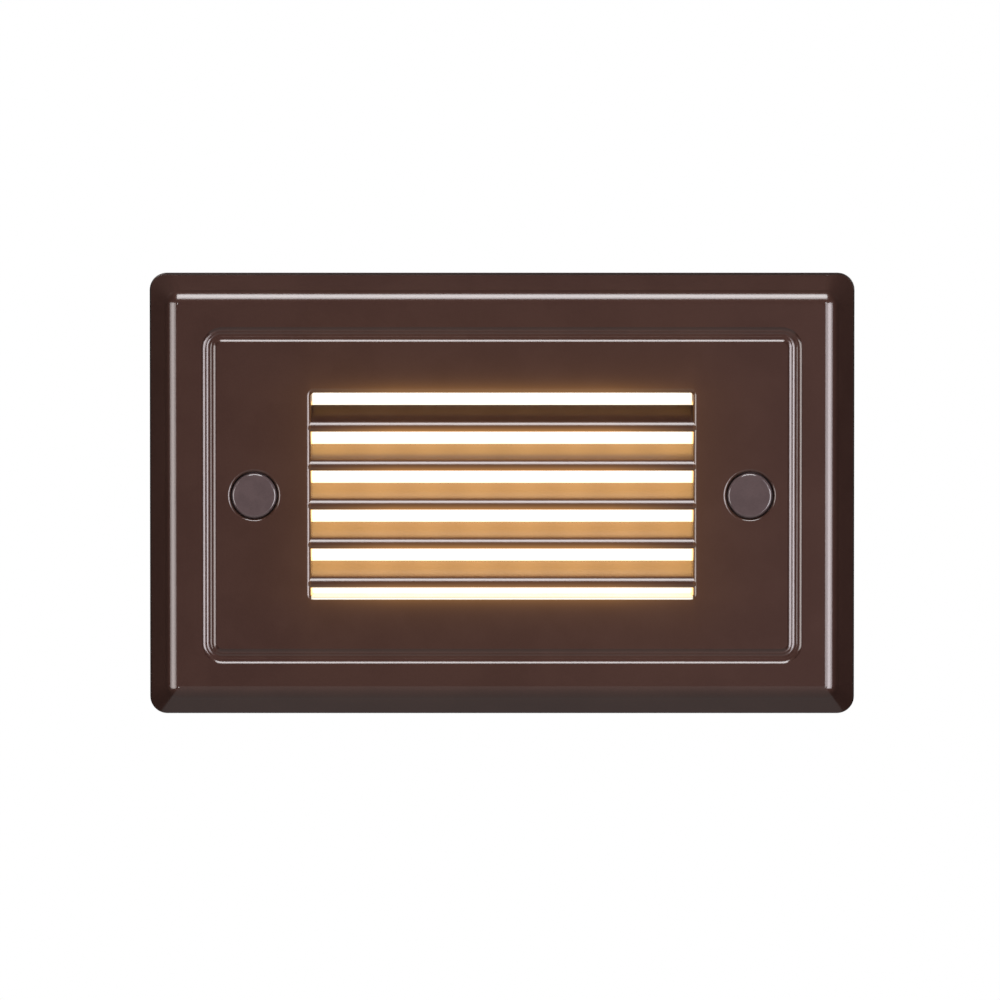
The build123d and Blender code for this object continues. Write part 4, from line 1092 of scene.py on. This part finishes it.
def screw_head(name, centre_x):
    """A merged copy of a CAD screw, its threaded part drawn in under the thread."""
    form = bmesh.new()
    form.from_mesh(node_of[name].data)
    bmesh.ops.remove_doubles(form, verts=form.verts, dist=TOLERANCE / 2)
    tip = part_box(name)[1].y - TIP_INSET
    for point in form.verts:
        offset = Vector((point.co.x - centre_x, 0.0, point.co.z))
        on_rim = abs(point.co.y - SHANK_END) <= TOLERANCE and offset.length > THREAD_EDGE
        if on_rim or point.co.y > SHANK_END + TOLERANCE:
            offset = offset.normalized() * min(offset.length, CORE_RADIUS)
            point.co.x, point.co.z = centre_x + offset.x, offset.z
            point.co.y = min(point.co.y, tip)
    for edge in form.edges:
        edge.smooth = len(edge.link_faces) == 2 and edge.calc_face_angle(0.0) < SHARP_ANGLE
    for face in form.faces:
        face.smooth = True
    return form


for side in ("left", "right"):
    name = "mounting_screw_" + side
    low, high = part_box(name)
    centre_x = (low.x + high.x) / 2
    ridge = grow(
        "threaded_screw_" + side,
        thread,
        {
            "Start": (centre_x, SHANK_END, 0.0),
            "Length": high.y - SHANK_END,
            "Material": metal_of["zinc_steel"],
        },
    )
    form = screw_head(name, centre_x)
    form.from_mesh(ridge.data)
    form.to_mesh(ridge.data)
    form.free()
    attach(ridge, "screw_" + side)
    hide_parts(name)
    print(ridge.name, "triangles:", sum(len(face.vertices) - 2 for face in ridge.data.polygons))

# %% [markdown]
# ## Clamp screws and solder joints
#
# Each pole of the terminal block has a small slotted screw that clamps the lead.
# Behind the driver board, every leg of every part ends in a shiny cone of solder.
# Both repeat at known places, so each has a tree that puts copies of one small shape
# on the points of a mesh. The points come from the CAD boxes of the parts.

# %% Grow the clamp screws
TERMINAL_PITCH = 4.6 * MM
WELL_DEPTH = 1.5 * MM
CLAMP_HEIGHT = 1.1 * MM
clamp_tree, use, end = geometry_tree(
    "clamp_screws",
    [
        ("Count", WHOLE, 3),
        ("Pitch", NUMBER, TERMINAL_PITCH),
        ("Radius", NUMBER, 1.25 * MM),
        ("Height", NUMBER, CLAMP_HEIGHT),
        ("Slot Width", NUMBER, 0.5 * MM),
        ("Slot Depth", NUMBER, 0.45 * MM),
        ("Centre", VECTOR, None),
        ("Material", MATERIAL, None),
    ],
)
stub = add(
    clamp_tree,
    "GeometryNodeMeshCylinder",
    {"Vertices": 32, "Radius": use["Radius"], "Depth": use["Height"]},
    fill_type="NGON",
).outputs["Mesh"]
slot_sides = {
    "X": product(clamp_tree, use["Radius"], 3.0),
    "Y": use["Slot Width"],
    "Z": product(clamp_tree, use["Slot Depth"], 2.0),
}
slot_size = add(clamp_tree, "ShaderNodeCombineXYZ", slot_sides).outputs[0]
half = product(clamp_tree, use["Height"], 0.5)
lift = add(clamp_tree, "ShaderNodeCombineXYZ", {"Z": half}).outputs[0]
bar = add(clamp_tree, "GeometryNodeMeshCube", {"Size": slot_size}).outputs["Mesh"]
slotted = add(clamp_tree, "GeometryNodeMeshBoolean", operation="DIFFERENCE")
clamp_tree.links.new(stub, slotted.inputs[0])
clamp_tree.links.new(turn_and_move(clamp_tree, bar, 0.0, lift), slotted.inputs[1])
reach = product(clamp_tree, use["Pitch"], maths(clamp_tree, "SUBTRACT", use["Count"], 1.0))
start = product(clamp_tree, reach, -0.5)
first = add(clamp_tree, "ShaderNodeCombineXYZ", {"Y": start}).outputs[0]
step = add(clamp_tree, "ShaderNodeCombineXYZ", {"Y": use["Pitch"]}).outputs[0]
row = add(
    clamp_tree,
    "GeometryNodeMeshLine",
    {"Count": use["Count"], "Start Location": first, "Offset": step},
    mode="OFFSET",
).outputs["Mesh"]
stubs = copies_on(clamp_tree, row, slotted.outputs["Mesh"])
facing = turn_and_move(clamp_tree, stubs, math.pi / 2, use["Centre"])
close_tree(clamp_tree, end, facing, use["Material"])

low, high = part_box("terminal_block")
clamp_screws = grow(
    "clamp_screws",
    clamp_tree,
    {
        "Centre": ((low.x + high.x) / 2, low.y + WELL_DEPTH - CLAMP_HEIGHT / 2, 0.0),
        "Material": metal_of["zinc_steel"],
    },
)
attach(clamp_screws, "fixture")

# %% Grow the solder joints
solder_tree, use, end = geometry_tree(
    "solder_joints",
    [
        ("Points", GEOMETRY, None),
        ("Foot Radius", NUMBER, 0.8 * MM),
        ("Tip Radius", NUMBER, 0.25 * MM),
        ("Height", NUMBER, 0.9 * MM),
        ("Waist Share", NUMBER, 0.28),
        ("Material", MATERIAL, None),
    ],
)
cone = add(
    solder_tree,
    "GeometryNodeMeshCone",
    {
        "Vertices": 16,
        "Side Segments": 4,
        "Radius Top": use["Tip Radius"],
        "Radius Bottom": use["Foot Radius"],
        "Depth": use["Height"],
    },
    fill_type="NGON",
).outputs["Mesh"]
axes = own_axes(solder_tree)
climb = maths(solder_tree, "DIVIDE", axes["Z"], use["Height"])
arch = maths(solder_tree, "SINE", product(solder_tree, climb, math.pi))
hollow = product(solder_tree, arch, use["Waist Share"])
waist = maths(solder_tree, "SUBTRACT", 1.0, hollow)
fillet = turn_and_move(solder_tree, drawn_in(solder_tree, cone, axes, waist), -math.pi / 2)
joints = copies_on(solder_tree, use["Points"], fillet)
close_tree(solder_tree, end, joints, use["Material"])

LEG_REACH = 0.32
WIRED = (
    "fuse",
    "film_capacitor",
    "varistor",
    "bridge_rectifier",
    "bulk_capacitor",
    "transformer_winding",
    "output_capacitor",
)
board_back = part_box("driver_board")[1].y
feet = []
for name in WIRED:
    low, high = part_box(name)
    middle = (low + high) / 2
    reach = LEG_REACH * (high.z - low.z)
    feet += [(middle.x, board_back, middle.z - reach), (middle.x, board_back, middle.z + reach)]
low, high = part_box("terminal_block")
feet += [((low.x + high.x) / 2, board_back, pole * TERMINAL_PITCH) for pole in (-1, 0, 1)]
points = bpy.data.meshes.new("joint_points")
points.from_pydata(feet, [], [])
solder, tree, output = new_material("solder_tin")
place = add(tree, "ShaderNodeTexCoord").outputs["Object"]
frost = noise(tree, place, 0.25 * MM, 3.0)
tone = blend_colour(tree, frost, (0.62, 0.62, 0.60, 1.0), (0.76, 0.76, 0.75, 1.0))
plain_surface(
    tree,
    output,
    {
        "Base Color": tone,
        "Metallic": 1.0,
        "Roughness": smooth_step(tree, frost, 0.3, 0.7, 0.2, 0.34),
        "Normal": bumped(tree, frost, 0.3, 0.01 * MM),
    },
)
solder_joints = grow("solder_joints", solder_tree, {"Material": solder}, points)
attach(solder_joints, "fixture")

# %% [markdown]
# ## Check the work
#
# Every CAD node should carry a finish made here, and the script prints any node
# that has none.

# %% Check and finish
finished = {material.name for material in bpy.data.materials if material.use_nodes}
plain = [
    name
    for name, node in node_of.items()
    if not all(slot and slot.name in finished for slot in node.data.materials)
]
print("nodes without a finish:", plain)
